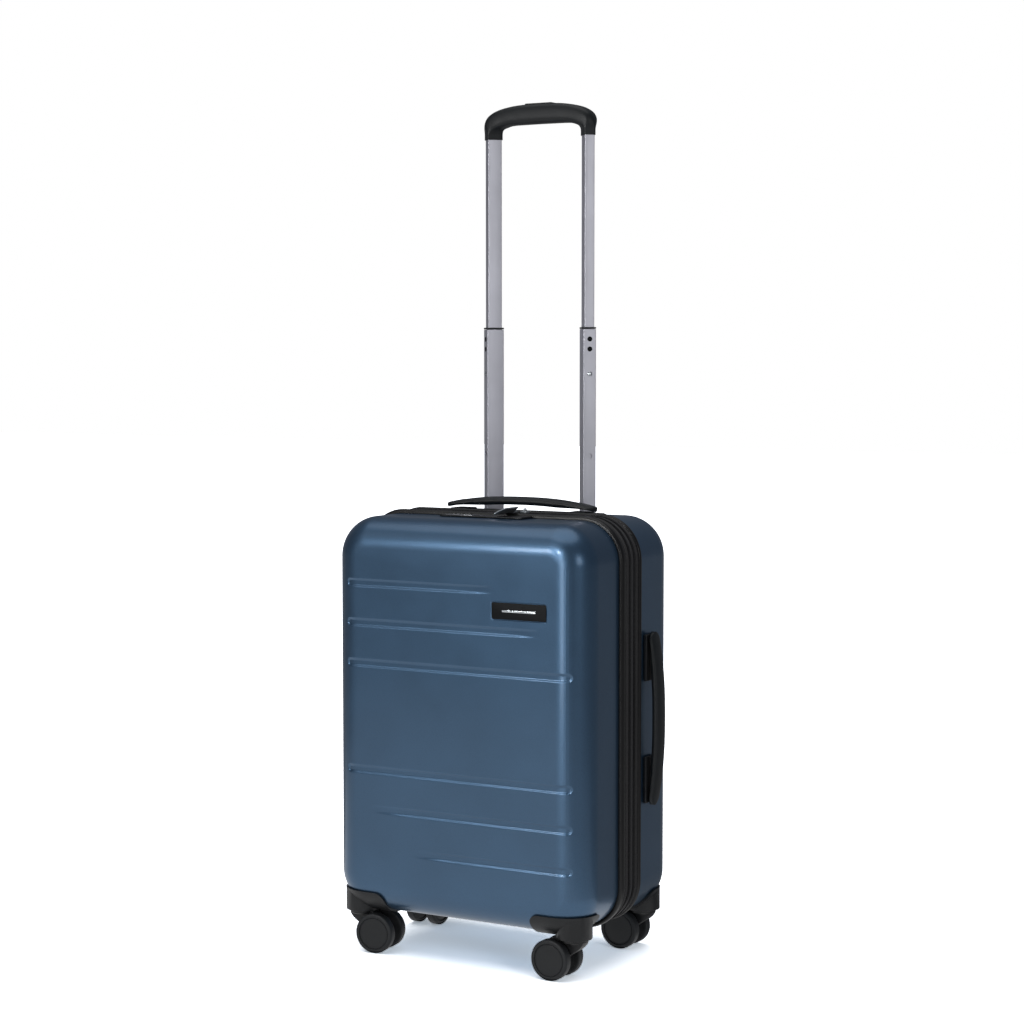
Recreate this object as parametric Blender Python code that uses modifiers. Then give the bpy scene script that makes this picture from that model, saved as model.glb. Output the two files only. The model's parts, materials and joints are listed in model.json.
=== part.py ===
"""Expandable four-wheeled hard shell suitcase with its trolley handle pulled out.

Every separate piece of the case is one closed solid in its own object.
Metres, +Z up, floor at z = 0, front face towards -Y.  x = 0 is the middle of
the bounding box, so the case itself stands CASE_X to one side of it.
"""
import math

import bmesh
import bpy
from mathutils import Matrix

GAP = 0.0004              # clearance between neighbouring pieces

# ---- casters: they set the height at which the case stands -------------------
WHEEL_R = 0.0250
WHEEL_STEPS = 24
WHEEL_W = 0.0118
WHEEL_GAP = 0.0190        # between the two wheels of a pair
TRAIL = 0.0240
NECK_R = 0.0215
NECK_BOTTOM = 2 * WHEEL_R + 0.0006
AXLE_R = 0.0030
AXLE_SINK = WHEEL_W - 0.0038
WEB = WHEEL_GAP / 2 - 0.0013      # half thickness of the fork
HUB_R = AXLE_R + 0.0060
FORK_BACK = 0.0185        # how far the fork reaches behind its pivot
STEM_R = 0.0040
STEM_TOP = NECK_BOTTOM + 0.0066
SKIN = 0.0026             # how far the corner cap stands off the shell
CAP_BEVEL = 0.008
SWIVEL = {"front_left": 7.0, "front_right": 179.0, "rear_left": 270.0, "rear_right": 180.0}

# ---- the shell ------------------------------------------------------------
CASE_W = 0.358            # width of the two shells
CASE_H = 0.4915
CASE_HALF_D = 0.1179      # front and back face planes
CASE_BOTTOM = NECK_BOTTOM + 0.0029
CASE_TOP = CASE_BOTTOM + CASE_H
MID_Z = (CASE_TOP + CASE_BOTTOM) / 2
CORNER_R = 0.050          # rounding seen from the front
EDGE_R = 0.038            # rounding of the front and back edges
CORNER_STEPS = 6
EDGE_STEPS = 5
WALL = 0.0022             # pressed shell thickness
HOLE_Z = (CASE_TOP - 0.045, CASE_TOP + 0.015)    # reach of cuts in the top wall

PIVOT_X = CASE_W / 2 - 0.0278
PIVOT_Y = CASE_HALF_D - 0.0294
CAP_X = PIVOT_X - 0.0477
CAP_Y = PIVOT_Y - 0.0245
CAP_TOP = CASE_BOTTOM + 0.0280
NECK_TOP = CASE_BOTTOM + 0.0265

# ---- the zipped band between the shells -------------------------------------
FRONT_SHELL_END = -0.0280
RIM_PROUD = 0.0055        # black piping stands this far off the shell
RIM_INSET = WALL + GAP
FRONT_RIM_W = 0.0070
FRONT_TAPE_W = 0.0116
MIDDLE_BAND_W = 0.0112
REAR_TAPE_W = 0.0102
REAR_RIM_W = 0.0066


def next_to(before, width):
    """Depth range of the ring that follows another one."""
    return before + GAP, before + GAP + width


FRONT_RIM_Y = next_to(FRONT_SHELL_END, FRONT_RIM_W)
FRONT_TAPE_Y = next_to(FRONT_RIM_Y[1], FRONT_TAPE_W)
MIDDLE_BAND_Y = next_to(FRONT_TAPE_Y[1], MIDDLE_BAND_W)
REAR_TAPE_Y = next_to(MIDDLE_BAND_Y[1], REAR_TAPE_W)
REAR_RIM_Y = next_to(REAR_TAPE_Y[1], REAR_RIM_W)
REAR_SHELL_END = REAR_RIM_Y[1] + GAP
TAPE_PROUD = 0.0034
TAPE_THICK = 0.0022
EXPANSION = 0.030         # extra depth once the second zip is undone
LINING_INSET = WALL + 2 * GAP
LINING_THICK = 0.0010
GUSSET_INSET = LINING_INSET + LINING_THICK + 0.0006
GUSSET_THICK = 0.0010
STRIP_THICK = 0.0012
STRIP_Z = (CASE_BOTTOM + 0.0715, CASE_TOP - 0.0700)
HINGE_Y = FRONT_TAPE_Y[1] + GAP / 2      # the seam that the main zip opens
HINGE_X = -CASE_W / 2 - 0.0060           # hinge line outside the left shell wall

# ---- front face relief ------------------------------------------------------
RIB_DEPTH = 0.0010
RIB_HEIGHT = 0.0078
RIB_END_R = 0.0015
LEFT = -CASE_W / 2
RIGHT = CASE_W / 2
RIBS = (                  # left end, right end, middle height
    (LEFT + 0.0250, RIGHT - 0.120, CASE_TOP - 0.0805),
    (LEFT + 0.0250, RIGHT - 0.059, CASE_TOP - 0.1295),
    (LEFT + 0.0250, RIGHT - 0.019, CASE_TOP - 0.1795),
    (LEFT + 0.0250, RIGHT - 0.019, CASE_BOTTOM + 0.1798),
    (LEFT + 0.0580, RIGHT - 0.019, CASE_BOTTOM + 0.1315),
    (LEFT + 0.1165, RIGHT - 0.019, CASE_BOTTOM + 0.0815),
)
CUT_OVER = 0.004          # how far a cutter starts outside the face
BADGE_W = 0.0747
BADGE_H = 0.0200
BADGE_MID = (RIGHT - 0.08805, CASE_TOP - 0.1045)
BADGE_R = 0.0015
BADGE_THICK = 0.0010
BADGE_ROOM = 0.0010       # recess margin round the plate
BADGE_GLUE = 0.0003       # glue line behind it

# ---- lock and zip pulls -----------------------------------------------------
LOCK_X = (-0.058, 0.044)
LOCK_D = 0.0276
LOCK_Y = (FRONT_SHELL_END - GAP - LOCK_D, FRONT_SHELL_END - GAP)
LOCK_BASE = CASE_TOP + GAP
LOCK_TOP = CASE_TOP + 0.0025
DOCK_X = (0.043, 0.060)
DOCK_TOP = LOCK_TOP + 0.0005
DOCK_OVER = 0.002
DOCK_INSET = 0.0003       # keeps its faces off the body's own planes
LOCK_BOX_X = (-0.052, 0.006)
LOCK_BOX_Y = (LOCK_Y[0] + 0.0040, LOCK_Y[1] - 0.0056)
LOCK_BOX_BOTTOM = CASE_TOP - 0.0120
LOCK_ROOM = 0.001         # clearance of the lock box in the shell and the lining
DIAL_XS = (-0.044, -0.033, -0.022)
DIAL_R = 0.0055
DIAL_W = 0.0060
DIAL_PROUD = 0.0012
DIAL_Y = sum(LOCK_BOX_Y) / 2
KEY_X = -0.0050
KEY_R = 0.0030
KEY_DEPTH = 0.0006
SLIDER_XS = (0.0195, 0.0365)
SLIDER_SIZE = (0.0090, 0.0105, 0.0030)
SLIDER_BASE = CASE_TOP + TAPE_PROUD + GAP
LOOP_R = 0.0042
LOOP_WIRE = 0.0009
LOOP_RISE = 1.15          # the loop is a little taller than round
LOOP_SUNK = 0.0006
LOOP_HALF_D = 0.0012
TAB_LENGTH = 0.049
TAB_W = 0.0150
TAB_THICK = 0.0016
TAB_ROOT = (sum(SLIDER_XS) / 2, HINGE_Y - 0.0041, SLIDER_BASE + 0.0092)
TAB_DROP = 9.5            # degrees below level
TAB_CHAMFER = (0.004, 0.006)

# ---- carry handles ----------------------------------------------------------
HANDLE_HALF = 0.107
HANDLE_W = 0.024
HANDLE_MID = REAR_SHELL_END + 0.0245      # depth position of both handles
HANDLE_RISE = 0.0215      # outside of the strap above the shell, at its middle
HANDLE_END_RISE = 0.0095
HANDLE_THICK_MID = 0.0095
HANDLE_THICK_END = 0.0040
HANDLE_BOW = 2.2          # power of the strap's curve
HANDLE_ROUND = 0.0013
SIDE_HANDLE_Z = MID_Z + 0.00025
FOOT_H = 0.0050
TOP_FOOT = (HANDLE_HALF - 0.0346, HANDLE_HALF - 0.0091)
SIDE_FOOT = (HANDLE_HALF - 0.0510, HANDLE_HALF - 0.0030)
FOOT_W = HANDLE_W + 0.0020
FOOT_ROUND = 0.0014
PEG = 0.0080
PEG_DEPTH = 0.0035

# ---- trolley ----------------------------------------------------------------
TUBE_X = 0.0686
TUBE_TURN = 42.0          # degrees: the tubes are set cornerwise
TUBE_WALL = 0.0010
TUBE_ROUND = 0.0022
OUTER_FIT = 0.0006        # play between the outer tube and the middle one
UPPER_FIT = (0.00075, 0.0010)
MID_TUBE = (0.0160, 0.0220)
OUTER_TUBE = tuple(side + 2 * (TUBE_WALL + OUTER_FIT) for side in MID_TUBE)
UPPER_TUBE = tuple(side - 2 * (TUBE_WALL + fit) for side, fit in zip(MID_TUBE, UPPER_FIT))
TUBE_REACH = (OUTER_TUBE[0] * math.sin(math.radians(TUBE_TURN))
              + OUTER_TUBE[1] * math.cos(math.radians(TUBE_TURN))) / 2
TUBE_CLEAR = 0.006413     # free space between the tubes and the back wall
TUBE_Y = CASE_HALF_D - WALL - TUBE_CLEAR - TUBE_REACH
BASE_Z = (CASE_BOTTOM + 0.0200, CASE_BOTTOM + 0.0345)
BASE_FLOOR = 0.0055       # thickness below the tubes' ends
BASE_X = TUBE_X + 0.0214
BASE_Y = (TUBE_Y - TUBE_REACH - 0.0002, TUBE_Y + TUBE_REACH - 0.0013)
OUTER_TUBE_Z = (BASE_Z[0] + BASE_FLOOR, CASE_TOP - 0.0180)
MID_LENGTH = 0.4510
MID_OUT = 0.2490          # how much of it stands out of the outer tube
MID_TUBE_Z = (OUTER_TUBE_Z[1] + MID_OUT - MID_LENGTH, OUTER_TUBE_Z[1] + MID_OUT)
COLLAR_H = 0.0021
COLLAR_Z = (MID_TUBE_Z[1] + GAP, MID_TUBE_Z[1] + GAP + COLLAR_H)
UPPER_LENGTH = 0.4750
UPPER_OUT = 0.2640
UPPER_TUBE_Z = (MID_TUBE_Z[1] + UPPER_OUT - UPPER_LENGTH, MID_TUBE_Z[1] + UPPER_OUT)
PIN_Z = MID_TUBE_Z[1] - 0.0561
SPARE_HOLE_Z = MID_TUBE_Z[1] - 0.1589
PIN_R = 0.0026
PIN_PLAY = 0.0006
PIN_TIP = MID_TUBE[1] / 2 - 0.0013        # from the tube's centre line
PIN_LENGTH = 0.0060
DRILL = (0.004, MID_TUBE[1] / 2 + 0.004)  # a face drill's reach from the centre line
REAR_LINING_BACK = TUBE_Y - TUBE_REACH - 0.0032
BEZEL_X = TUBE_X + 0.0274
BEZEL_Y = (TUBE_Y - 0.0220, TUBE_Y + 0.0250)
BEZEL_TOP = CASE_TOP + 0.0015
BEZEL_BOTTOM = CASE_TOP - 0.0250
BEZEL_PLAY = 0.0005
SHELL_PLAY = 0.0010
GRIP_TOP = UPPER_TUBE_Z[1] + 0.0195
GRIP_UNDER = GRIP_TOP - 0.0250
GRIP_LEG_Z = GRIP_TOP - 0.0423
GRIP_HALF = TUBE_X + 0.0124
GRIP_INSIDE = TUBE_X - 0.0126
GRIP_W = 0.0260
GRIP_ROUND = 0.003
LEG = tuple(side + 0.0025 for side in UPPER_TUBE)
LEG_ROUND = 0.0035
BUTTON_HALF = 0.0205
BUTTON_W = 0.0130
BUTTON_PROUD = 0.0018
BUTTON_BOTTOM = GRIP_TOP - 0.0095
BUTTON_TRAVEL = 0.0030

CASE_X = (RIM_PROUD - HANDLE_RISE) / 2    # the side handle makes it stand off-centre


def clear_scene():
    for obj in list(bpy.data.objects):
        bpy.data.objects.remove(obj, do_unlink=True)


def new_collection(name):
    group = bpy.data.collections.new(name)
    bpy.context.scene.collection.children.link(group)
    return group


def material(name, color, metallic, roughness):
    mat = bpy.data.materials.new(name)
    mat.use_nodes = True
    shader = mat.node_tree.nodes["Principled BSDF"]
    shader.inputs["Base Color"].default_value = (*color, 1.0)
    shader.inputs["Metallic"].default_value = metallic
    shader.inputs["Roughness"].default_value = roughness
    return mat


LOOKS = {
    "shell": ((0.06, 0.12, 0.19), 0.5, 0.35),
    "trim": ((0.02, 0.02, 0.022), 0.0, 0.5),
    "tape": ((0.025, 0.025, 0.028), 0.0, 0.9),
    "lining": ((0.10, 0.10, 0.11), 0.0, 0.9),
    "tube": ((0.30, 0.30, 0.34), 1.0, 0.35),
    "steel": ((0.60, 0.60, 0.62), 1.0, 0.3),
    "grip": ((0.03, 0.035, 0.04), 0.0, 0.5),
    "tyre": ((0.03, 0.03, 0.032), 0.0, 0.6),
}


def publish(obj, look):
    """Give a finished piece its own material and put it with the parts."""
    color, metallic, roughness = LOOKS[look]
    obj.data.materials.clear()
    obj.data.materials.append(material(obj.name, color, metallic, roughness))
    PARTS.objects.link(obj)
    return obj


def mesh_object(name, bm):
    bmesh.ops.recalc_face_normals(bm, faces=bm.faces)
    mesh = bpy.data.meshes.new(name)
    bm.to_mesh(mesh)
    bm.free()
    return bpy.data.objects.new(name, mesh)


def cut(target, cutter, operation="DIFFERENCE"):
    """Add an exact Boolean; the cutter is kept, wire only, out of renders."""
    if cutter.name not in CUTTERS.objects:
        CUTTERS.objects.link(cutter)
        cutter.hide_render = True
        cutter.display_type = "WIRE"
    step = target.modifiers.new(operation.lower(), "BOOLEAN")
    step.operation = operation
    step.solver = "EXACT"
    step.object = cutter
    return target


# ---- outlines and solids ----------------------------------------------------
def rounded_rect(width, height, radius, steps, centre=(0.0, 0.0)):
    """Corner-rounded rectangle as one loop of points."""
    points = []
    for sx, sy, start in ((1, 1, 0), (-1, 1, 90), (-1, -1, 180), (1, -1, 270)):
        cx = centre[0] + sx * (width / 2 - radius)
        cy = centre[1] + sy * (height / 2 - radius)
        for k in range(steps + 1):
            turn = math.radians(start + 90 * k / steps)
            points.append((cx + radius * math.cos(turn), cy + radius * math.sin(turn)))
    return points


def circle(radius, steps, centre=(0.0, 0.0)):
    return [(centre[0] + radius * math.cos(math.tau * k / steps),
             centre[1] + radius * math.sin(math.tau * k / steps)) for k in range(steps)]


def extruded(name, loops, low, high, plane="XZ"):
    """Flat outlines (inner loops are holes) given depth along the third axis."""
    curve = bpy.data.curves.new(name, "CURVE")
    curve.dimensions = "2D"
    curve.fill_mode = "BOTH"
    curve.extrude = (high - low) / 2
    for loop in loops:
        spline = curve.splines.new("POLY")
        spline.points.add(len(loop) - 1)
        for point, (u, v) in zip(spline.points, loop):
            point.co = (u, v, 0.0, 1.0)
        spline.use_cyclic_u = True
    holder = bpy.data.objects.new(name + "_outline", curve)
    bpy.context.scene.collection.objects.link(holder)
    bpy.context.view_layer.update()
    depsgraph = bpy.context.evaluated_depsgraph_get()
    mesh = bpy.data.meshes.new_from_object(holder.evaluated_get(depsgraph))
    bpy.data.objects.remove(holder, do_unlink=True)
    mesh.name = name
    place = {
        "XY": Matrix(((1, 0, 0, 0), (0, 1, 0, 0), (0, 0, 1, 0), (0, 0, 0, 1))),
        "XZ": Matrix(((1, 0, 0, 0), (0, 0, 1, 0), (0, 1, 0, 0), (0, 0, 0, 1))),
        "ZX": Matrix(((0, 1, 0, 0), (0, 0, 1, 0), (1, 0, 0, 0), (0, 0, 0, 1))),
        "YZ": Matrix(((0, 0, 1, 0), (1, 0, 0, 0), (0, 1, 0, 0), (0, 0, 0, 1))),
    }[plane]
    lift = Matrix.Translation((0.0, 0.0, (high + low) / 2))
    mesh.transform(place @ lift)
    bm = bmesh.new()
    bm.from_mesh(mesh)
    bpy.data.meshes.remove(mesh)
    bmesh.ops.remove_doubles(bm, verts=bm.verts, dist=0.00001)
    return mesh_object(name, bm)


def box(name, xs, ys, zs, bevel=0.0, steps=2):
    bm = bmesh.new()
    size = Matrix.Diagonal((xs[1] - xs[0], ys[1] - ys[0], zs[1] - zs[0], 1.0))
    middle = Matrix.Translation((sum(xs) / 2, sum(ys) / 2, sum(zs) / 2))
    bmesh.ops.create_cube(bm, size=1.0, matrix=middle @ size)
    if bevel:
        bmesh.ops.bevel(bm, geom=list(bm.edges), offset=bevel, segments=steps,
                        profile=0.5, affect="EDGES")
    return mesh_object(name, bm)


def cylinder(name, radius, low, high, steps=20, axis="Z", centre=(0.0, 0.0, 0.0), top=None):
    bm = bmesh.new()
    turn = {"X": Matrix.Rotation(math.pi / 2, 4, "Y"),
            "Y": Matrix.Rotation(-math.pi / 2, 4, "X"),
            "Z": Matrix.Identity(4)}[axis]
    lift = Matrix.Translation((0.0, 0.0, (low + high) / 2))
    bmesh.ops.create_cone(bm, cap_ends=True, segments=steps, radius1=radius,
                          radius2=radius if top is None else top, depth=high - low,
                          matrix=Matrix.Translation(centre) @ turn @ lift)
    return mesh_object(name, bm)


def case_block(name, grow, front, back, round_front, round_back, drop_face=None):
    """The case's outer form between two depths, grown outwards by a clearance."""
    bm = bmesh.new()
    size = Matrix.Diagonal((CASE_W + 2 * grow, back - front, CASE_H + 2 * grow, 1.0))
    middle = Matrix.Translation((0.0, (front + back) / 2, MID_Z))
    bmesh.ops.create_cube(bm, size=1.0, matrix=middle @ size)
    upright = [e for e in bm.edges if abs(e.verts[0].co.y - e.verts[1].co.y) > 1e-6]
    bmesh.ops.bevel(bm, geom=upright, offset=CORNER_R + grow, segments=CORNER_STEPS,
                    profile=0.5, affect="EDGES")
    for wanted, plane in ((round_front, front), (round_back, back)):
        if wanted:
            edge = [e for e in bm.edges if all(abs(v.co.y - plane) < 1e-6 for v in e.verts)]
            bmesh.ops.bevel(bm, geom=edge, offset=EDGE_R + grow, segments=EDGE_STEPS,
                            profile=0.5, affect="EDGES")
    if drop_face is not None:
        open_side = [f for f in bm.faces if all(abs(v.co.y - drop_face) < 1e-6 for v in f.verts)]
        bmesh.ops.delete(bm, geom=open_side, context="FACES_ONLY")
    bmesh.ops.recalc_face_normals(bm, faces=bm.faces)
    mesh = bpy.data.meshes.new(name)
    bm.to_mesh(mesh)
    bm.free()
    return bpy.data.objects.new(name, mesh)


def tray(name, grow, front, back, thick, opens_back):
    """Half of the case as a pressed tray, thickened inwards."""
    plane = back if opens_back else front
    obj = case_block(name, grow, front, back, opens_back, not opens_back, plane)
    step = obj.modifiers.new("thickness", "SOLIDIFY")
    step.thickness = thick
    step.offset = 1.0 if outward_is_in(obj) else -1.0
    step.use_even_offset = True
    return obj


def outward_is_in(obj):
    """True when an open tray's faces point to its inside."""
    face = max(obj.data.polygons, key=lambda p: p.area)
    return face.normal.y * (face.center.y - 0.0) < 0


def ring(name, inner, outer, ys):
    """Band that follows the case's outline; insets are measured inwards."""
    loops = [rounded_rect(CASE_W - 2 * inset, CASE_H - 2 * inset, CORNER_R - inset,
                          CORNER_STEPS, (0.0, MID_Z)) for inset in (outer, inner)]
    return extruded(name, loops, ys[0], ys[1])


# ---- shells, rims, band ------------------------------------------------------
def front_shell():
    shell = tray("front_shell", 0.0, -CASE_HALF_D, FRONT_SHELL_END, WALL, True)
    for number, (left, right, height) in enumerate(RIBS, 1):
        loop = rounded_rect(right - left, RIB_HEIGHT, RIB_END_R, 2, ((left + right) / 2, height))
        cut(shell, extruded("rib_cutter_%d" % number, [loop],
                            -CASE_HALF_D - CUT_OVER, -CASE_HALF_D + RIB_DEPTH))
    loop = rounded_rect(BADGE_W + 2 * BADGE_ROOM, BADGE_H + 2 * BADGE_ROOM,
                        BADGE_R + BADGE_ROOM, 2, BADGE_MID)
    cut(shell, extruded("badge_recess", [loop], -CASE_HALF_D - CUT_OVER, -CASE_HALF_D + RIB_DEPTH))
    cut(shell, lock_opening())
    return publish(shell, "shell")


def lock_opening():
    name = "lock_opening"
    if name in bpy.data.objects:
        return bpy.data.objects[name]
    return box(name, (LOCK_BOX_X[0] - LOCK_ROOM, LOCK_BOX_X[1] + LOCK_ROOM),
               (LOCK_BOX_Y[0] - LOCK_ROOM, LOCK_BOX_Y[1] + LOCK_ROOM), HOLE_Z)


def rear_shell():
    shell = tray("rear_shell", 0.0, REAR_SHELL_END, CASE_HALF_D, WALL, False)
    for side in (-1, 1):
        hole = tube_outline(MID_TUBE, SHELL_PLAY, side)
        cut(shell, extruded("shell_tube_hole_%d" % (side + 2), [hole], *HOLE_Z, "XY"))
    return publish(shell, "shell")


def badge():
    loop = rounded_rect(BADGE_W, BADGE_H, BADGE_R, 2, BADGE_MID)
    back = -CASE_HALF_D + RIB_DEPTH - BADGE_GLUE
    publish(extruded("badge_plate", [loop], back - BADGE_THICK + BADGE_GLUE, back), "trim")


def band():
    publish(ring("front_rim", RIM_INSET, -RIM_PROUD, FRONT_RIM_Y), "trim")
    publish(ring("front_zip_tape", TAPE_THICK - TAPE_PROUD, -TAPE_PROUD, FRONT_TAPE_Y), "tape")
    publish(ring("middle_band", TAPE_THICK - TAPE_PROUD, -TAPE_PROUD, MIDDLE_BAND_Y), "tape")
    publish(ring("rear_zip_tape", TAPE_THICK - TAPE_PROUD, -TAPE_PROUD, REAR_TAPE_Y), "tape")
    publish(ring("rear_rim", RIM_INSET, -RIM_PROUD, REAR_RIM_Y), "trim")
    gusset_y = (MIDDLE_BAND_Y[0], MIDDLE_BAND_Y[1] + EXPANSION)
    publish(ring("expansion_gusset", GUSSET_INSET + GUSSET_THICK, GUSSET_INSET, gusset_y), "lining")


def hinge_strip():
    left = -CASE_W / 2 + GUSSET_INSET + GUSSET_THICK + GAP
    strip = box("hinge_strip", (left, left + STRIP_THICK),
                (FRONT_RIM_Y[0] + 0.0006, MIDDLE_BAND_Y[1] + 0.0070), STRIP_Z)
    publish(strip, "tape")


def linings():
    front = tray("front_lining", -LINING_INSET, -CASE_HALF_D + LINING_INSET,
                 FRONT_SHELL_END - 0.0005, LINING_THICK, True)
    cut(front, lock_opening())
    publish(front, "lining")
    panel_y = (REAR_LINING_BACK - LINING_THICK, REAR_LINING_BACK)
    walls_y = (REAR_SHELL_END + 0.0015, panel_y[0] - GAP)
    publish(ring("rear_lining", LINING_INSET + LINING_THICK, LINING_INSET, walls_y), "lining")
    sheet = rounded_rect(CASE_W - 2 * LINING_INSET, CASE_H - 2 * LINING_INSET,
                         CORNER_R - LINING_INSET, CORNER_STEPS, (0.0, MID_Z))
    publish(extruded("tube_cover_panel", [sheet], *panel_y), "lining")


# ---- lock, dials, sliders, pull tab ----------------------------------------
def lock():
    body = box("lock_body", LOCK_X, LOCK_Y, (LOCK_BASE, LOCK_TOP), 0.0007, 1)
    cut(body, box("lock_box", LOCK_BOX_X, LOCK_BOX_Y, (LOCK_BOX_BOTTOM, LOCK_BASE + 0.001)), "UNION")
    cut(body, box("lock_dock", DOCK_X, (LOCK_Y[0] - DOCK_OVER, LOCK_Y[1] - DOCK_INSET),
                  (LOCK_BASE + DOCK_INSET, DOCK_TOP), 0.0005, 1), "UNION")
    centre = (DIAL_Y, LOCK_TOP + DIAL_PROUD - DIAL_R)
    for number, dial_x in enumerate(DIAL_XS, 1):
        half = DIAL_W / 2 + GAP
        reach = DIAL_R + GAP
        cut(body, box("dial_slot_%d" % number, (dial_x - half, dial_x + half),
                      (centre[0] - reach, centre[0] + reach),
                      (centre[1] - reach, LOCK_TOP + 0.005)))
        dial = cylinder("lock_dial_%d" % number, DIAL_R, -DIAL_W / 2, DIAL_W / 2, 20, "X")
        dial.location = (dial_x, *centre)
        publish(dial, "steel")
    cut(body, cylinder("key_way", KEY_R, LOCK_TOP - KEY_DEPTH, LOCK_TOP + 0.002, 16, "Z",
                       (KEY_X, DIAL_Y, 0.0)))
    publish(body, "trim")


def loop_arc(slider_x, reach, order):
    """Half of a standing loop seen from the front."""
    foot = SLIDER_BASE + SLIDER_SIZE[2] - LOOP_SUNK
    return [(slider_x + reach * math.cos(math.pi * k / 8),
             foot + LOOP_RISE * reach * math.sin(math.pi * k / 8)) for k in order]


def zip_sliders():
    width, depth, height = SLIDER_SIZE
    for side, slider_x in zip(("left", "right"), SLIDER_XS):
        slider = box("zip_slider_" + side, (slider_x - width / 2, slider_x + width / 2),
                     (HINGE_Y - depth / 2, HINGE_Y + depth / 2),
                     (SLIDER_BASE, SLIDER_BASE + height), 0.0008, 1)
        arch = loop_arc(slider_x, LOOP_R, range(9))
        inner = loop_arc(slider_x, LOOP_R - 2 * LOOP_WIRE, range(8, -1, -1))
        cut(slider, extruded("slider_loop_" + side, [arch + inner],
                             HINGE_Y - LOOP_HALF_D, HINGE_Y + LOOP_HALF_D), "UNION")
        publish(slider, "steel")


def pull_tab():
    half = TAB_W / 2
    in_x, in_y = TAB_CHAMFER
    loop = [(-half, 0.0), (-half, -TAB_LENGTH + in_y), (-half + in_x, -TAB_LENGTH),
            (half - in_x, -TAB_LENGTH), (half, -TAB_LENGTH + in_y), (half, 0.0)]
    tab = extruded("pull_tab", [loop], -TAB_THICK / 2, TAB_THICK / 2, "XY")
    tab.data.transform(Matrix.Rotation(math.radians(TAB_DROP), 4, "X"))
    tab.location = TAB_ROOT
    publish(tab, "steel")


# ---- carry handles ----------------------------------------------------------
def handle_outline():
    """Long bowed strap seen from its edge: thick in the middle, thin at the ends."""
    steps = 12
    top = []
    under = []
    for k in range(steps + 1):
        along = -1 + 2 * k / steps
        fall = abs(along) ** HANDLE_BOW
        high = HANDLE_RISE + (HANDLE_END_RISE - HANDLE_RISE) * fall
        thick = HANDLE_THICK_MID + (HANDLE_THICK_END - HANDLE_THICK_MID) * fall
        top.append((along * HANDLE_HALF, high))
        under.append((along * (HANDLE_HALF - 0.002), high - thick))
    return top[::-1] + under


def carry_handle(name, foot):
    """Strap, and its two feet, lying along X with the shell surface at z = 0."""
    strap = extruded(name, [handle_outline()], -HANDLE_W / 2, HANDLE_W / 2)
    bm = bmesh.new()
    bm.from_mesh(strap.data)
    sharp = [e for e in bm.edges if len(e.link_faces) == 2
             and abs(abs(e.verts[0].co.y) - HANDLE_W / 2) < 1e-6
             and abs(e.verts[0].co.y - e.verts[1].co.y) < 1e-6
             and e.calc_face_angle(0.0) > 0.5]
    bmesh.ops.bevel(bm, geom=sharp, offset=HANDLE_ROUND, segments=2, profile=0.5, affect="EDGES")
    bm.to_mesh(strap.data)
    bm.free()
    middle = sum(foot) / 2
    feet = []
    for side in (-1, 1):
        reach = sorted((side * foot[0], side * foot[1]))
        pad = box(name + "_foot_%s" % ("a" if side < 0 else "b"), reach,
                  (-FOOT_W / 2, FOOT_W / 2), (GAP, FOOT_H), FOOT_ROUND, 2)
        hollow = PEG / 2 + GAP
        cut(pad, box(pad.name + "_pocket", (side * middle - hollow, side * middle + hollow),
                     (-hollow, hollow), (FOOT_H - PEG_DEPTH - GAP, 0.02)))
        cut(strap, box(pad.name + "_peg", (side * middle - PEG / 2, side * middle + PEG / 2),
                       (-PEG / 2, PEG / 2), (FOOT_H - PEG_DEPTH, FOOT_H + 0.006)), "UNION")
        feet.append(pad)
    return strap, feet


def settle(obj, matrix):
    """Move a piece and everything that cuts it to its place, meshes included."""
    seen = [obj] + [m.object for m in obj.modifiers if m.type == "BOOLEAN"]
    for item in seen:
        item.data.transform(matrix)


def top_handle():
    strap, feet = carry_handle("top_handle", TOP_FOOT)
    place = Matrix.Translation((0.0, HANDLE_MID, CASE_TOP))
    for piece in [strap] + feet:
        settle(piece, place)
        publish(piece, "grip")


def side_handle():
    strap, feet = carry_handle("side_handle", SIDE_FOOT)
    place = Matrix.Translation((CASE_W / 2, HANDLE_MID, SIDE_HANDLE_Z)) @ Matrix.Rotation(
        math.pi / 2, 4, "Y")
    for piece in [strap] + feet:
        settle(piece, place)
        publish(piece, "grip")


# ---- trolley ----------------------------------------------------------------
def tube_outline(section, grow, side, rounding=TUBE_ROUND):
    """Cornerwise rectangle; side is -1 for the left tube and 1 for the right."""
    turn = math.radians(TUBE_TURN)
    points = []
    for u, v in rounded_rect(section[0] + 2 * grow, section[1] + 2 * grow, rounding + grow, 2):
        x = u * math.cos(turn) - v * math.sin(turn)
        y = u * math.sin(turn) + v * math.cos(turn)
        points.append((side * (TUBE_X + x), TUBE_Y + y))
    return points


def outward(side):
    """Direction that the tube's drilled face looks in."""
    turn = math.radians(TUBE_TURN)
    return side * math.sin(turn), -math.cos(turn)


def hollow_tube(name, section, ends, side):
    loops = [tube_outline(section, 0.0, side), tube_outline(section, -TUBE_WALL, side)]
    return extruded(name, loops, *ends, "XY")


def face_hole(name, radius, side, height, reach=DRILL):
    """Drill that runs square to the tube's drilled face."""
    drill = cylinder(name, radius, *reach, 14)
    nx, ny = outward(side)
    aim = Matrix.Rotation(math.pi / 2, 4, "X")
    spin = Matrix.Rotation(math.atan2(ny, nx) + math.pi / 2, 4, "Z")
    drill.data.transform(Matrix.Translation((side * TUBE_X, TUBE_Y, height)) @ spin @ aim)
    return drill


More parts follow.
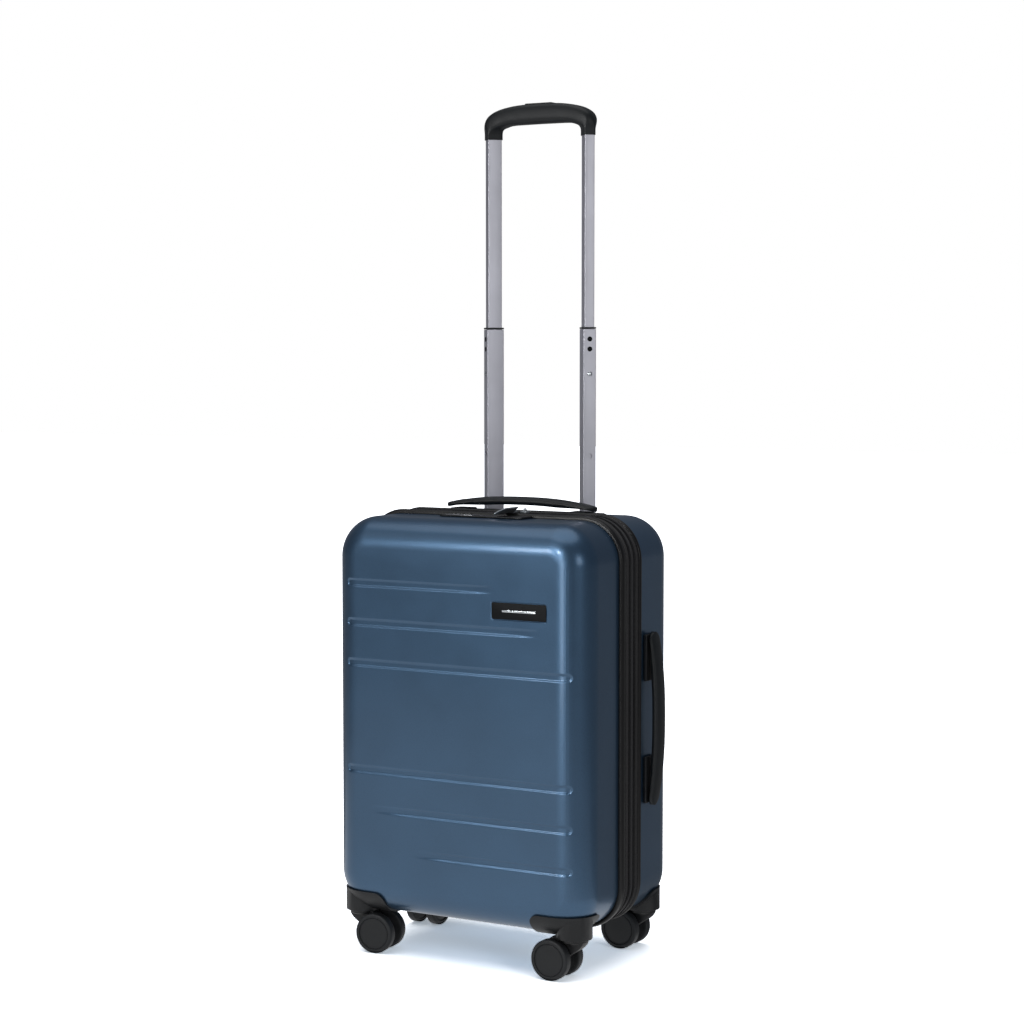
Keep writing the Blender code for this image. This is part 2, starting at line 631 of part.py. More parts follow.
def trolley_side(side, word):
    publish(hollow_tube("outer_tube_" + word, OUTER_TUBE, OUTER_TUBE_Z, side), "tube")
    middle = hollow_tube("middle_tube_" + word, MID_TUBE, MID_TUBE_Z, side)
    cut(middle, face_hole("pin_window_" + word, PIN_R + PIN_PLAY, side, PIN_Z))
    cut(middle, face_hole("spare_hole_" + word, PIN_R + PIN_PLAY, side, SPARE_HOLE_Z))
    publish(middle, "tube")
    collar = extruded("middle_collar_" + word,
                      [tube_outline(MID_TUBE, 0.0, side), tube_outline(UPPER_TUBE, GAP, side)],
                      COLLAR_Z[0], COLLAR_Z[1], "XY")
    publish(collar, "trim")
    upper = hollow_tube("upper_tube_" + word, UPPER_TUBE, UPPER_TUBE_Z, side)
    cut(upper, face_hole("pin_bore_" + word, PIN_R + GAP, side, PIN_Z))
    publish(upper, "tube")
    publish(face_hole("lock_pin_" + word, PIN_R, side, PIN_Z, (PIN_TIP - PIN_LENGTH, PIN_TIP)), "steel")


def trolley_base():
    base = box("trolley_base", (-BASE_X, BASE_X), BASE_Y, BASE_Z, 0.002, 1)
    for side in (-1, 1):
        cut(base, extruded("base_pocket_%d" % (side + 2), [tube_outline(OUTER_TUBE, GAP, side)],
                           OUTER_TUBE_Z[0] - GAP, BASE_Z[1] + 0.032, "XY"))
    publish(base, "trim")


def trolley_bezel():
    bezel = box("trolley_bezel", (-BEZEL_X, BEZEL_X), BEZEL_Y, (BEZEL_BOTTOM, BEZEL_TOP), 0.004, 2)
    cut(bezel, bpy.data.objects["cap_skin"], "INTERSECT")
    cut(bezel, bpy.data.objects["shell_clearance"])
    for side in (-1, 1):
        cut(bezel, extruded("bezel_hole_%d" % (side + 2), [tube_outline(MID_TUBE, BEZEL_PLAY, side)],
                            *HOLE_Z, "XY"))
    publish(bezel, "trim")


def grip_outline():
    """Half of the grip seen from the front: underside outwards, then back on top."""
    under = ((GRIP_INSIDE - 0.0260, 0.0002), (GRIP_INSIDE - 0.0120, 0.0008),
             (GRIP_INSIDE - 0.0040, 0.0040), (GRIP_INSIDE, 0.0105))
    top = ((0.0, 0.0340), (0.0010, 0.0205), (0.0045, 0.0130), (0.0110, 0.0083),
           (0.0210, 0.0050), (0.0350, 0.0027))
    loop = [(0.0, GRIP_UNDER)]
    loop += [(x, GRIP_UNDER - drop) for x, drop in under]
    loop += [(GRIP_HALF - inwards, GRIP_TOP - drop) for inwards, drop in top]
    return loop + [(BUTTON_HALF, GRIP_TOP)]


def grip():
    right = grip_outline()
    left = [(-x, z) for x, z in reversed(right) if x > 0.0]
    arch = extruded("trolley_grip", [right + left], TUBE_Y - GRIP_W / 2, TUBE_Y + GRIP_W / 2)
    bm = bmesh.new()
    bm.from_mesh(arch.data)
    sharp = [e for e in bm.edges if len(e.link_faces) == 2
             and abs(e.verts[0].co.y - e.verts[1].co.y) < 1e-6
             and e.calc_face_angle(0.0) > 0.5]
    bmesh.ops.bevel(bm, geom=sharp, offset=GRIP_ROUND, segments=2, profile=0.5, affect="EDGES")
    bm.to_mesh(arch.data)
    bm.free()
    for side in (-1, 1):
        word = "left" if side < 0 else "right"
        cut(arch, extruded("grip_leg_" + word, [tube_outline(LEG, 0.0, side, LEG_ROUND)],
                           GRIP_LEG_Z, GRIP_TOP - 0.0145, "XY"), "UNION")
        cut(arch, extruded("grip_socket_" + word, [tube_outline(UPPER_TUBE, GAP, side)],
                           GRIP_LEG_Z - 0.0172, UPPER_TUBE_Z[1] + GAP, "XY"))
    cut(arch, box("button_pocket", (-BUTTON_HALF - GAP, BUTTON_HALF + GAP),
                  (TUBE_Y - BUTTON_W / 2 - GAP, TUBE_Y + BUTTON_W / 2 + GAP),
                  (BUTTON_BOTTOM - BUTTON_TRAVEL - GAP, GRIP_TOP + 0.0105)))
    publish(arch, "grip")
    button = box("grip_button", (-BUTTON_HALF, BUTTON_HALF),
                 (TUBE_Y - BUTTON_W / 2, TUBE_Y + BUTTON_W / 2),
                 (BUTTON_BOTTOM, GRIP_TOP + BUTTON_PROUD), 0.0012, 2)
    publish(button, "trim")


# ---- casters ----------------------------------------------------------------
def case_envelopes():
    """The case's form grown twice: to the caps' skin, and to their clearance."""
    for name, grow in (("cap_skin", SKIN), ("shell_clearance", GAP)):
        edge = CASE_HALF_D + grow
        envelope = case_block(name, grow, -edge, edge, True, True)
        CUTTERS.objects.link(envelope)
        envelope.hide_render = True
        envelope.display_type = "WIRE"


def caster_housing(corner, sx, sy):
    far = 0.03
    xs = sorted((sx * CAP_X, sx * (CASE_W / 2 + far)))
    ys = sorted((sy * CAP_Y, sy * (CASE_HALF_D + far)))
    cap = box("caster_housing_" + corner, xs, ys, (NECK_BOTTOM - 0.0206, CAP_TOP), CAP_BEVEL, 3)
    cut(cap, bpy.data.objects["cap_skin"], "INTERSECT")
    centre = (sx * PIVOT_X, sy * PIVOT_Y, 0.0)
    cut(cap, cylinder("neck_" + corner, NECK_R, NECK_BOTTOM, NECK_TOP, 24, "Z", centre), "UNION")
    cut(cap, bpy.data.objects["shell_clearance"])
    cut(cap, cylinder("stem_bore_" + corner, STEM_R + GAP, NECK_BOTTOM - 0.0106, STEM_TOP + GAP,
                      16, "Z", centre))
    publish(cap, "trim")


def fork_outline():
    """Side view of the fork arm: trail to +u, height v."""
    top = NECK_BOTTOM - GAP
    loop = [(-FORK_BACK, top), (-FORK_BACK, top - 0.0062), (-FORK_BACK + 0.0035, top - 0.0127),
            (-0.0060, WHEEL_R + 0.0050), (TRAIL - 0.0160, WHEEL_R - 0.0035)]
    for k in range(9):
        turn = math.radians(-135 + 180 * k / 8)
        loop.append((TRAIL + HUB_R * math.cos(turn), WHEEL_R + HUB_R * math.sin(turn)))
    loop += [(TRAIL + 0.0030, top - 0.0107), (TRAIL - 0.0040, top - 0.0037), (TRAIL - 0.0070, top)]
    return loop


def caster(corner, sx, sy):
    caster_housing(corner, sx, sy)
    turn = Matrix.Rotation(math.radians(SWIVEL[corner]), 4, "Z")
    pivot = (sx * PIVOT_X, sy * PIVOT_Y, 0.0)
    fork = extruded("caster_fork_" + corner, [fork_outline()], -WEB, WEB)
    stem = cylinder("stem_" + corner, STEM_R, NECK_BOTTOM - 0.0066, STEM_TOP, 16)
    bore = cylinder("axle_bore_" + corner, AXLE_R + GAP, -0.02, 0.02, 16, "Y", (TRAIL, 0.0, WHEEL_R))
    for item in (fork, stem, bore):
        item.data.transform(turn)
        item.location = pivot
    cut(fork, stem, "UNION")
    cut(fork, bore)
    publish(fork, "trim")
    hub = Matrix.Translation(pivot) @ turn @ Matrix.Translation((TRAIL, 0.0, WHEEL_R))
    reach = WHEEL_GAP / 2 + AXLE_SINK - GAP
    axle = cylinder("axle_" + corner, AXLE_R, -reach, reach, 16, "Y")
    axle.data.transform(turn)
    axle.location = hub.to_translation()
    publish(axle, "steel")
    for word, way in (("a", -1), ("b", 1)):
        tyre = wheel("wheel_%s_%s" % (corner, word), way)
        tyre.data.transform(turn)
        tyre.location = hub.to_translation()
        publish(tyre, "tyre")


def wheel(name, way):
    """Turned wheel with a blind bore for the axle; way points along the axle."""
    near = WHEEL_GAP / 2
    far = near + WHEEL_W
    bore = AXLE_R + GAP
    profile = [(0.0, far - 0.0012), (WHEEL_R - 0.0065, far - 0.0012), (WHEEL_R - 0.0055, far),
               (WHEEL_R - 0.0025, far), (WHEEL_R, far - 0.0030), (WHEEL_R, near + 0.0018),
               (WHEEL_R - 0.0015, near),
               (bore, near), (bore, near + AXLE_SINK), (0.0, near + AXLE_SINK)]
    bm = bmesh.new()
    verts = [bm.verts.new((radius, way * along, 0.0)) for radius, along in profile]
    edges = [bm.edges.new(pair) for pair in zip(verts, verts[1:])]
    bmesh.ops.spin(bm, geom=verts + edges, cent=(0, 0, 0), axis=(0, 1, 0),
                   angle=math.tau, steps=WHEEL_STEPS, use_merge=True)
    bmesh.ops.remove_doubles(bm, verts=bm.verts, dist=0.00001)
    return mesh_object(name, bm)


def set_origin(name, point):
    """Move a piece's origin, and not the piece, to a point on its joint axis."""
    obj = bpy.data.objects[name]
    obj.data.transform(Matrix.Translation([-value for value in point]))
    obj.location = point


def set_origins():
    hinge = (HINGE_X, HINGE_Y, MID_Z)
    for name in ("front_shell", "front_lining", "front_rim", "front_zip_tape", "badge_plate",
                 "lock_body"):
        set_origin(name, hinge)
    for side, word in ((-1, "left"), (1, "right")):
        for name, height in (("middle_tube_", MID_TUBE_Z[0]), ("middle_collar_", COLLAR_Z[0]),
                             ("upper_tube_", UPPER_TUBE_Z[0]), ("lock_pin_", PIN_Z)):
            set_origin(name + word, (side * TUBE_X, TUBE_Y, height))
    set_origin("trolley_grip", (0.0, TUBE_Y, GRIP_LEG_Z))
    set_origin("grip_button", (0.0, TUBE_Y, BUTTON_BOTTOM))
    set_origin("top_handle", (0.0, HANDLE_MID, CASE_TOP))
    set_origin("side_handle", (CASE_W / 2, HANDLE_MID, SIDE_HANDLE_Z))
    for word, slider_x in zip(("left", "right"), SLIDER_XS):
        set_origin("zip_slider_" + word, (slider_x, HINGE_Y, SLIDER_BASE))


def shift_case():
    """Bring the whole case to the frame whose x = 0 is the middle of its box."""
    for obj in bpy.data.objects:
        obj.location.x += CASE_X


def smooth_all():
    for obj in PARTS.objects:
        obj.data.shade_smooth()
        obj.data.set_sharp_from_angle(angle=math.radians(30))


def build():
    case_envelopes()
    front_shell()
    rear_shell()
    badge()
    band()
    hinge_strip()
    linings()
    lock()
    zip_sliders()
    pull_tab()
    top_handle()
    side_handle()
    for side, word in ((-1, "left"), (1, "right")):
        trolley_side(side, word)
    trolley_base()
    trolley_bezel()
    grip()
    for corner, sx, sy in (("front_left", -1, -1), ("front_right", 1, -1),
                           ("rear_left", -1, 1), ("rear_right", 1, 1)):
        caster(corner, sx, sy)
    set_origins()
    shift_case()
    smooth_all()


clear_scene()
PARTS = new_collection("hard_shell_suitcase")
CUTTERS = new_collection("cutters")
build()
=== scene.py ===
# %% [markdown]
# # An expandable hard shell suitcase on twin casters
# The case is two pressed plastic trays with a zipped cloth band between them.
# A two-stage trolley handle stands in the back, and four twin casters carry it.
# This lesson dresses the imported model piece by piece.  Each piece keeps the
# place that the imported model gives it, and rides on the body that moves it.

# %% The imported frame
import json
import math

import bmesh
import bpy
from mathutils import Matrix, Vector


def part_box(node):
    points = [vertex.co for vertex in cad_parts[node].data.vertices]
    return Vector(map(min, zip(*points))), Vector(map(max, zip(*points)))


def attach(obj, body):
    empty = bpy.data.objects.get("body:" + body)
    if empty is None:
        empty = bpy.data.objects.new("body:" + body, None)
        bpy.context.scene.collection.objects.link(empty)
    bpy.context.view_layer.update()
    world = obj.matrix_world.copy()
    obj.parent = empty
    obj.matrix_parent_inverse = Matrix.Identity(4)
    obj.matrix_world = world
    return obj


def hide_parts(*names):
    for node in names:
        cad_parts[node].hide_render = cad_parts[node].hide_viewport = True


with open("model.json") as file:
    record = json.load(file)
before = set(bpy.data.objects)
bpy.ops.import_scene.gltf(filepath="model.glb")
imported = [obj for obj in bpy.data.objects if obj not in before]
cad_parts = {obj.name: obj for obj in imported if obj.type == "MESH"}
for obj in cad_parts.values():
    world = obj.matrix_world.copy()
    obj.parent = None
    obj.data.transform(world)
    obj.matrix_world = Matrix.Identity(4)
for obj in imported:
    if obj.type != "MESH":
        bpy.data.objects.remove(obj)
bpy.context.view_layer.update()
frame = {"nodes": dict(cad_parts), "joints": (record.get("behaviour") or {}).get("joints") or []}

SHELL_LO, SHELL_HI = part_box("front_shell")
REAR_LO, REAR_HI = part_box("rear_shell")
MID_X = (SHELL_LO[0] + SHELL_HI[0]) / 2
MID_Z = (SHELL_LO[2] + SHELL_HI[2]) / 2
CASE_W = SHELL_HI[0] - SHELL_LO[0]
CASE_H = SHELL_HI[2] - SHELL_LO[2]
FRONT_Y = SHELL_LO[1]
BACK_Y = REAR_HI[1]
CASE_TOP = SHELL_HI[2]
CORNER_R = 0.050
EDGE_R = 0.038
print("case %.0f x %.0f x %.0f mm" % (CASE_W * 1e3, (BACK_Y - FRONT_Y) * 1e3, CASE_H * 1e3))

# %% [markdown]
# Everything around the case follows one outline: a rectangle with round
# corners, seen from the front.  It is written once here, with an inset, so the
# rims, the tapes and the teeth all keep the same centre for their corners.

# %% The case's outline and a loft helper
OUTLINE_STEPS = 20


def outline(inset, steps=OUTLINE_STEPS, straight=6):
    """Points (x, z) around the case, inwards by inset; straights are divided."""
    half_w = CASE_W / 2 - inset
    half_h = CASE_H / 2 - inset
    radius = CORNER_R - inset
    points = []
    corners = ((1, 1, 0), (-1, 1, 90), (-1, -1, 180), (1, -1, 270))
    for index, (sx, sz, start) in enumerate(corners):
        centre = (MID_X + sx * (half_w - radius), MID_Z + sz * (half_h - radius))
        for k in range(steps + 1):
            turn = math.radians(start + 90 * k / steps)
            points.append((centre[0] + radius * math.cos(turn),
                           centre[1] + radius * math.sin(turn)))
        nsx, nsz, nstart = corners[(index + 1) % 4]
        ncentre = (MID_X + nsx * (half_w - radius), MID_Z + nsz * (half_h - radius))
        nturn = math.radians(nstart)
        goal = (ncentre[0] + radius * math.cos(nturn), ncentre[1] + radius * math.sin(nturn))
        here = points[-1]
        for k in range(1, straight):
            blend = k / straight
            points.append((here[0] + (goal[0] - here[0]) * blend,
                           here[1] + (goal[1] - here[1]) * blend))
    return points


def keep(name, bm, smooth=35.0, flip=True):
    """Make an object of a bmesh, faces outwards, smooth up to an angle."""
    if flip:
        bmesh.ops.recalc_face_normals(bm, faces=bm.faces)
    mesh = bpy.data.meshes.new(name)
    bm.to_mesh(mesh)
    bm.free()
    obj = bpy.data.objects.new(name, mesh)
    bpy.context.scene.collection.objects.link(obj)
    if smooth:
        mesh.shade_smooth()
        mesh.set_sharp_from_angle(angle=math.radians(smooth))
    return obj


def loft(name, loops, closed_way=False, caps=True, smooth=35.0):
    """Skin a row of equal loops; closed_way joins the last loop to the first."""
    bm = bmesh.new()
    rows = [[bm.verts.new(point) for point in loop] for loop in loops]
    count = len(rows[0])
    pairs = list(zip(rows, rows[1:]))
    if closed_way:
        pairs.append((rows[-1], rows[0]))
    for near, far in pairs:
        for k in range(count):
            bm.faces.new((near[k], near[(k + 1) % count], far[(k + 1) % count], far[k]))
    if caps and not closed_way:
        bm.faces.new(rows[0][::-1])
        bm.faces.new(rows[-1])
    return keep(name, bm, smooth)


def around_case(name, profile, smooth=50.0):
    """Sweep a closed profile of (out, y) points around the case's outline."""
    loops = []
    for out, y in profile:
        loops.append([(x, y, z) for x, z in outline(-out)])
    return loft(name, loops, closed_way=True, smooth=smooth)


def round_profile(width, height, radius, steps=4):
    """Closed loop: a rectangle with round corners, about its centre."""
    points = []
    for sx, sy, start in ((1, 1, 0), (-1, 1, 90), (-1, -1, 180), (1, -1, 270)):
        cx = sx * (width / 2 - radius)
        cy = sy * (height / 2 - radius)
        for k in range(steps + 1):
            turn = math.radians(start + 90 * k / steps)
            points.append((cx + radius * math.cos(turn), cy + radius * math.sin(turn)))
    return points


def smooth_step(value):
    value = min(1.0, max(0.0, value))
    return value * value * (3.0 - 2.0 * value)


# %% [markdown]
# A finish is a small node tree.  Each one starts from object coordinates, so
# its grain has a real size in metres, and gives the colour, the roughness and
# a fine relief their own slow and fast variation.

# %% Helpers for finishes
def new_finish(name, **settings):
    """A material with a Principled shader; settings are plain socket values."""
    finish = bpy.data.materials.new(name)
    finish.use_nodes = True
    shader = finish.node_tree.nodes["Principled BSDF"]
    for socket, value in settings.items():
        shader.inputs[socket.replace("_", " ")].default_value = value
    return finish, finish.node_tree, shader


def add(tree, kind, **values):
    node = tree.nodes.new(kind)
    for key, value in values.items():
        if hasattr(node, key):
            setattr(node, key, value)
        else:
            node.inputs[key.replace("_", " ")].default_value = value
    return node


def grain(tree, size, detail=3.0, stretch=(1, 1, 1), kind="ShaderNodeTexNoise"):
    """Noise whose lumps are about size metres across, stretched along axes."""
    where = tree.nodes.new("ShaderNodeTexCoord")
    mapping = tree.nodes.new("ShaderNodeMapping")
    mapping.inputs["Scale"].default_value = stretch
    tree.links.new(where.outputs["Object"], mapping.inputs["Vector"])
    noise = tree.nodes.new(kind)
    noise.inputs["Scale"].default_value = 1.0 / size
    if "Detail" in noise.inputs:
        noise.inputs["Detail"].default_value = detail
    tree.links.new(mapping.outputs["Vector"], noise.inputs["Vector"])
    return noise


def ramp(tree, source, stops):
    node = tree.nodes.new("ShaderNodeValToRGB")
    tree.links.new(source, node.inputs["Fac"])
    elements = node.color_ramp.elements
    while len(elements) < len(stops):
        elements.new(0.5)
    for element, (position, color) in zip(elements, stops):
        element.position = position
        element.color = (*color, 1.0) if len(color) == 3 else color
    return node.outputs["Color"]


def spread(tree, source, low, high):
    """Map a 0-1 pattern to a range, for roughness."""
    node = tree.nodes.new("ShaderNodeMapRange")
    tree.links.new(source, node.inputs["Value"])
    node.inputs["To Min"].default_value = low
    node.inputs["To Max"].default_value = high
    return node.outputs["Result"]


def relief(tree, shader, source, depth, strength=1.0, after=None):
    node = tree.nodes.new("ShaderNodeBump")
    node.inputs["Distance"].default_value = depth
    node.inputs["Strength"].default_value = strength
    tree.links.new(source, node.inputs["Height"])
    if after is not None:
        tree.links.new(after, node.inputs["Normal"])
    tree.links.new(node.outputs["Normal"], shader.inputs["Normal"])
    return node.outputs["Normal"]


def tone(color, factor):
    return tuple(min(1.0, channel * factor) for channel in color)


# %% [markdown]
# The shells are pressed from coloured polycarbonate with a metallic pearl in
# the lacquer.  A real pearl is thousands of tiny flakes: small cells of the
# Voronoi pattern lift the colour here and there, a slow noise makes the sheet
# a little uneven, and a clear coat gives the sharper gloss over the satin base.

# %% The pearl blue lacquer
PEARL_BLUE = (0.047, 0.101, 0.176)
pearl, tree, shader = new_finish("pearl_blue_lacquer", Metallic=0.72, Coat_Weight=0.32,
                                 Coat_Roughness=0.16, Specular_IOR_Level=0.5)
slow = grain(tree, 0.12, 2.0)
base = ramp(tree, slow.outputs["Fac"], ((0.30, tone(PEARL_BLUE, 0.93)), (0.70, tone(PEARL_BLUE, 1.07))))
flakes = grain(tree, 0.00055, kind="ShaderNodeTexVoronoi")
sparkle = ramp(tree, flakes.outputs["Color"], ((0.20, (0.86, 0.86, 0.86)), (0.80, (1.14, 1.14, 1.14))))
mix = add(tree, "ShaderNodeMix", data_type="RGBA", blend_type="MULTIPLY")
mix.inputs["Factor"].default_value = 1.0
tree.links.new(base, mix.inputs[6])
tree.links.new(sparkle, mix.inputs[7])
tree.links.new(mix.outputs[2], shader.inputs["Base Color"])
haze = grain(tree, 0.035, 4.0)
tree.links.new(spread(tree, haze.outputs["Fac"], 0.30, 0.40), shader.inputs["Roughness"])
skin = grain(tree, 0.0016, 2.0)
relief(tree, shader, skin.outputs["Fac"], 0.00003, 0.35)
print("finish:", pearl.name)


# %% [markdown]
# The black parts are moulded with a spark-eroded texture: fine pits that
# scatter light, worn a little smoother where hands and floors rub them.  The
# same recipe with other numbers makes the trim, the soft-touch grips and the
# hard rubber wheels.

# %% Moulded plastics and rubber
def moulded(name, color, rough, pit, depth, coat=0.0, specular=0.32):
    finish, tree, shader = new_finish(name, Coat_Weight=coat, Coat_Roughness=0.3,
                                      Specular_IOR_Level=specular)
    slow = grain(tree, 0.04, 4.0)
    tree.links.new(ramp(tree, slow.outputs["Fac"], ((0.3, tone(color, 0.85)), (0.7, tone(color, 1.18)))),
                   shader.inputs["Base Color"])
    rub = grain(tree, 0.012, 5.0)
    tree.links.new(spread(tree, rub.outputs["Fac"], rough - 0.07, rough + 0.07),
                   shader.inputs["Roughness"])
    pits = grain(tree, pit, 2.0)
    relief(tree, shader, pits.outputs["Fac"], depth, 0.6)
    return finish


black_trim = moulded("black_moulded_trim", (0.0165, 0.0180, 0.0198), 0.44, 0.0009, 0.00008)
piping_black = moulded("piping_black", (0.0085, 0.0085, 0.0090), 0.33, 0.0014, 0.00005)
soft_grip = moulded("soft_touch_grip", (0.0125, 0.0155, 0.0180), 0.46, 0.0006, 0.00005)
wheel_rubber = moulded("wheel_rubber", (0.0250, 0.0275, 0.0305), 0.55, 0.0007, 0.00006)
wheel_disc = moulded("wheel_disc_plastic", (0.0190, 0.0210, 0.0235), 0.42, 0.0008, 0.00004)
fork_plastic = moulded("fork_plastic", (0.0170, 0.0180, 0.0195), 0.40, 0.0009, 0.00007)
badge_black = moulded("badge_black", (0.0070, 0.0082, 0.0095), 0.5, 0.0008, 0.00002, 0.0, 0.12)
print("finishes:", black_trim.name, soft_grip.name, wheel_rubber.name)

# %% [markdown]
# Cloth reads as cloth by its threads.  Two wave patterns at right angles
# raise the warp and the weft, and their product also darkens the colour in
# the hollows between the threads, which is painted shade.  A slow noise makes
# the dye uneven.  The same weave at two scales gives the zip tape and the
# smoother lining.


# %% Woven cloth
def woven(name, color, thread, depth, rough=0.85, sheen=0.2):
    finish, tree, shader = new_finish(name, Sheen_Weight=sheen, Roughness=rough,
                                      Specular_IOR_Level=0.25)
    where = tree.nodes.new("ShaderNodeTexCoord")
    waves = []
    for way in "XYZ":
        wave = add(tree, "ShaderNodeTexWave", bands_direction=way, wave_profile="SIN")
        wave.inputs["Scale"].default_value = 0.314 / thread
        wave.inputs["Distortion"].default_value = 0.4
        wave.inputs["Detail Scale"].default_value = 3.0
        tree.links.new(where.outputs["Object"], wave.inputs["Vector"])
        waves.append(wave.outputs["Fac"])
    high = add(tree, "ShaderNodeMath", operation="MAXIMUM")
    tree.links.new(waves[0], high.inputs[0])
    tree.links.new(waves[1], high.inputs[1])
    both = add(tree, "ShaderNodeMath", operation="MULTIPLY")
    tree.links.new(high.outputs[0], both.inputs[0])
    tree.links.new(waves[2], both.inputs[1])
    slow = grain(tree, 0.03, 4.0)
    # Painted shade: the weave height plus the slow dye noise drives the colour ramp, so the colour is darker
    # where the threads lie low, in the hollows; the slow noise part is real uneven dye.
    dye_and_hollow_shade = add(tree, "ShaderNodeMath", operation="MULTIPLY_ADD")
    tree.links.new(slow.outputs["Fac"], dye_and_hollow_shade.inputs[0])
    dye_and_hollow_shade.inputs[1].default_value = 0.5
    tree.links.new(both.outputs[0], dye_and_hollow_shade.inputs[2])
    tree.links.new(ramp(tree, dye_and_hollow_shade.outputs[0], ((0.1, tone(color, 0.55)), (0.9, tone(color, 1.4)))),
                   shader.inputs["Base Color"])
    relief(tree, shader, both.outputs[0], depth, 0.8)
    return finish


zip_cloth = woven("zip_tape_cloth", (0.0170, 0.0165, 0.0175), 0.0007, 0.00012)
band_cloth = woven("band_cloth", (0.0230, 0.0235, 0.0260), 0.0009, 0.00015)
lining_cloth = woven("lining_cloth", (0.085, 0.087, 0.095), 0.0006, 0.00010, 0.7, 0.35)
nylon_teeth = moulded("nylon_coil", (0.0130, 0.0130, 0.0145), 0.35, 0.0006, 0.00002)
thread_black = moulded("sewing_thread", (0.0350, 0.0350, 0.0380), 0.7, 0.0003, 0.00004)
print("finishes:", zip_cloth.name, lining_cloth.name)

# %% [markdown]
# The tubes are drawn aluminium, brushed along their length and anodised grey.
# Brushing is a noise stretched far along the tube, so it makes long hairlines
# in both the roughness and the relief.  Plated zinc and steel are smoother.


# %% Metals
def brushed(name, color, rough, along, width, depth, metallic=1.0):
    finish, tree, shader = new_finish(name, Metallic=metallic)
    stretch = tuple(0.02 if axis == along else 1.0 for axis in "XYZ")
    hair = grain(tree, width, 3.0, stretch)
    slow = grain(tree, 0.05, 2.0)
    tree.links.new(ramp(tree, slow.outputs["Fac"], ((0.3, tone(color, 0.94)), (0.7, tone(color, 1.06)))),
                   shader.inputs["Base Color"])
    tree.links.new(spread(tree, hair.outputs["Fac"], rough - 0.08, rough + 0.08),
                   shader.inputs["Roughness"])
    relief(tree, shader, hair.outputs["Fac"], depth, 0.5)
    return finish


grey_anodised = brushed("grey_anodised_aluminium", (0.58, 0.58, 0.635), 0.42, "Z", 0.0009, 0.00001, 0.72)
plated_zinc = brushed("plated_zinc", (0.30, 0.31, 0.325), 0.30, "Y", 0.0008, 0.00002)
bright_steel = brushed("bright_steel", (0.62, 0.66, 0.68), 0.20, "X", 0.0010, 0.00001)
gunmetal = brushed("gunmetal_tab", (0.34, 0.37, 0.39), 0.38, "X", 0.0008, 0.00002, 0.6)
print("finishes:", grey_anodised.name, plated_zinc.name)


# %% Handing a piece over
PIECES = []


def give(obj, finish, body, stands_for=None):
    """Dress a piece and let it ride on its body."""
    obj.data.materials.clear()
    obj.data.materials.append(finish)
    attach(obj, body)
    for node in stands_for or ():
        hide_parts(node)
    PIECES.append(obj)
    return obj


# %% [markdown]
# ## The front shell
# The lid is one pressed sheet.  Six shallow grooves stiffen its face; four of
# them fade out towards one end.  A Boolean would leave hard edges, and a press
# leaves soft ones, so the face is cut into a fine grid only where the grooves
# run, and each point is pushed in by a smooth function of its distance from
# the nearest groove.  A second skin, moved in by the sheet's own thickness,
# closes it to a solid sheet.

# %% Grooves and badge recess as one depth function
RIB_DEPTH = 0.0013
RIB_HALF = 0.0040
RIB_SOFT = 0.0030
RIBS = (  # left end, right end, height, length of the fade at left and at right
    (-0.154, 0.059, 0.4645, 0.0, 0.050),
    (-0.154, 0.120, 0.4155, 0.0, 0.045),
    (-0.154, 0.160, 0.3655, 0.0, 0.0),
    (-0.154, 0.160, 0.2333, 0.0, 0.0),
    (-0.121, 0.160, 0.1850, 0.070, 0.0),
    (-0.0625, 0.160, 0.1350, 0.060, 0.0),
)
BADGE_LO, BADGE_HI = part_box("badge_plate")
BADGE_DEPTH = 0.0010
BADGE_SOFT = 0.0006
BADGE_MARGIN = 0.0010


def box_distance(u, v, half_u, half_v, radius):
    du = abs(u) - half_u + radius
    dv = abs(v) - half_v + radius
    outside = math.hypot(max(du, 0.0), max(dv, 0.0))
    return outside + min(max(du, dv), 0.0) - radius


def press_depth(x, z):
    deep = 0.0
    for left, right, height, fade_left, fade_right in RIBS:
        if abs(z - height) > 0.012:
            continue
        u = x - MID_X
        away = box_distance(u - (left + right) / 2, z - height, (right - left) / 2,
                            RIB_HALF, RIB_HALF * 0.9)
        depth = RIB_DEPTH * smooth_step(0.5 - away / RIB_SOFT)
        if fade_left:
            depth *= smooth_step((u - left) / fade_left)
        if fade_right:
            depth *= smooth_step((right - u) / fade_right)
        deep = max(deep, depth)
    away = box_distance(x - (BADGE_LO[0] + BADGE_HI[0]) / 2, z - (BADGE_LO[2] + BADGE_HI[2]) / 2,
                        (BADGE_HI[0] - BADGE_LO[0]) / 2 + BADGE_MARGIN,
                        (BADGE_HI[2] - BADGE_LO[2]) / 2 + BADGE_MARGIN, 0.002)
    return max(deep, BADGE_DEPTH * smooth_step(0.5 - away / BADGE_SOFT))


def cut_lines():
    """Heights and widths at which the face needs a row of points."""
    rows = set()
    columns = set()
    for left, right, height, fade_left, fade_right in RIBS:
        for k in range(-8, 9):
            rows.add(round(height + k * 0.00078, 5))
        for end, fade in ((left, fade_left), (right, fade_right)):
            inwards = 1 if end == left else -1
            for k in range(-4, 12 if not fade else 4):
                columns.add(round(MID_X + end + inwards * k * 0.00075, 5))
    for edge in (BADGE_LO[2] - BADGE_MARGIN, BADGE_HI[2] + BADGE_MARGIN):
        rows.update(round(edge + k * 0.00015, 5) for k in range(-3, 4))
    for edge in (BADGE_LO[0] - BADGE_MARGIN, BADGE_HI[0] + BADGE_MARGIN):
        columns.update(round(edge + k * 0.00015, 5) for k in range(-3, 4))
    columns.update(round(MID_X - 0.150 + k * 0.012, 5) for k in range(26))
    rows.update(round(0.120 + k * 0.014, 5) for k in range(26))
    return sorted(rows), sorted(columns)


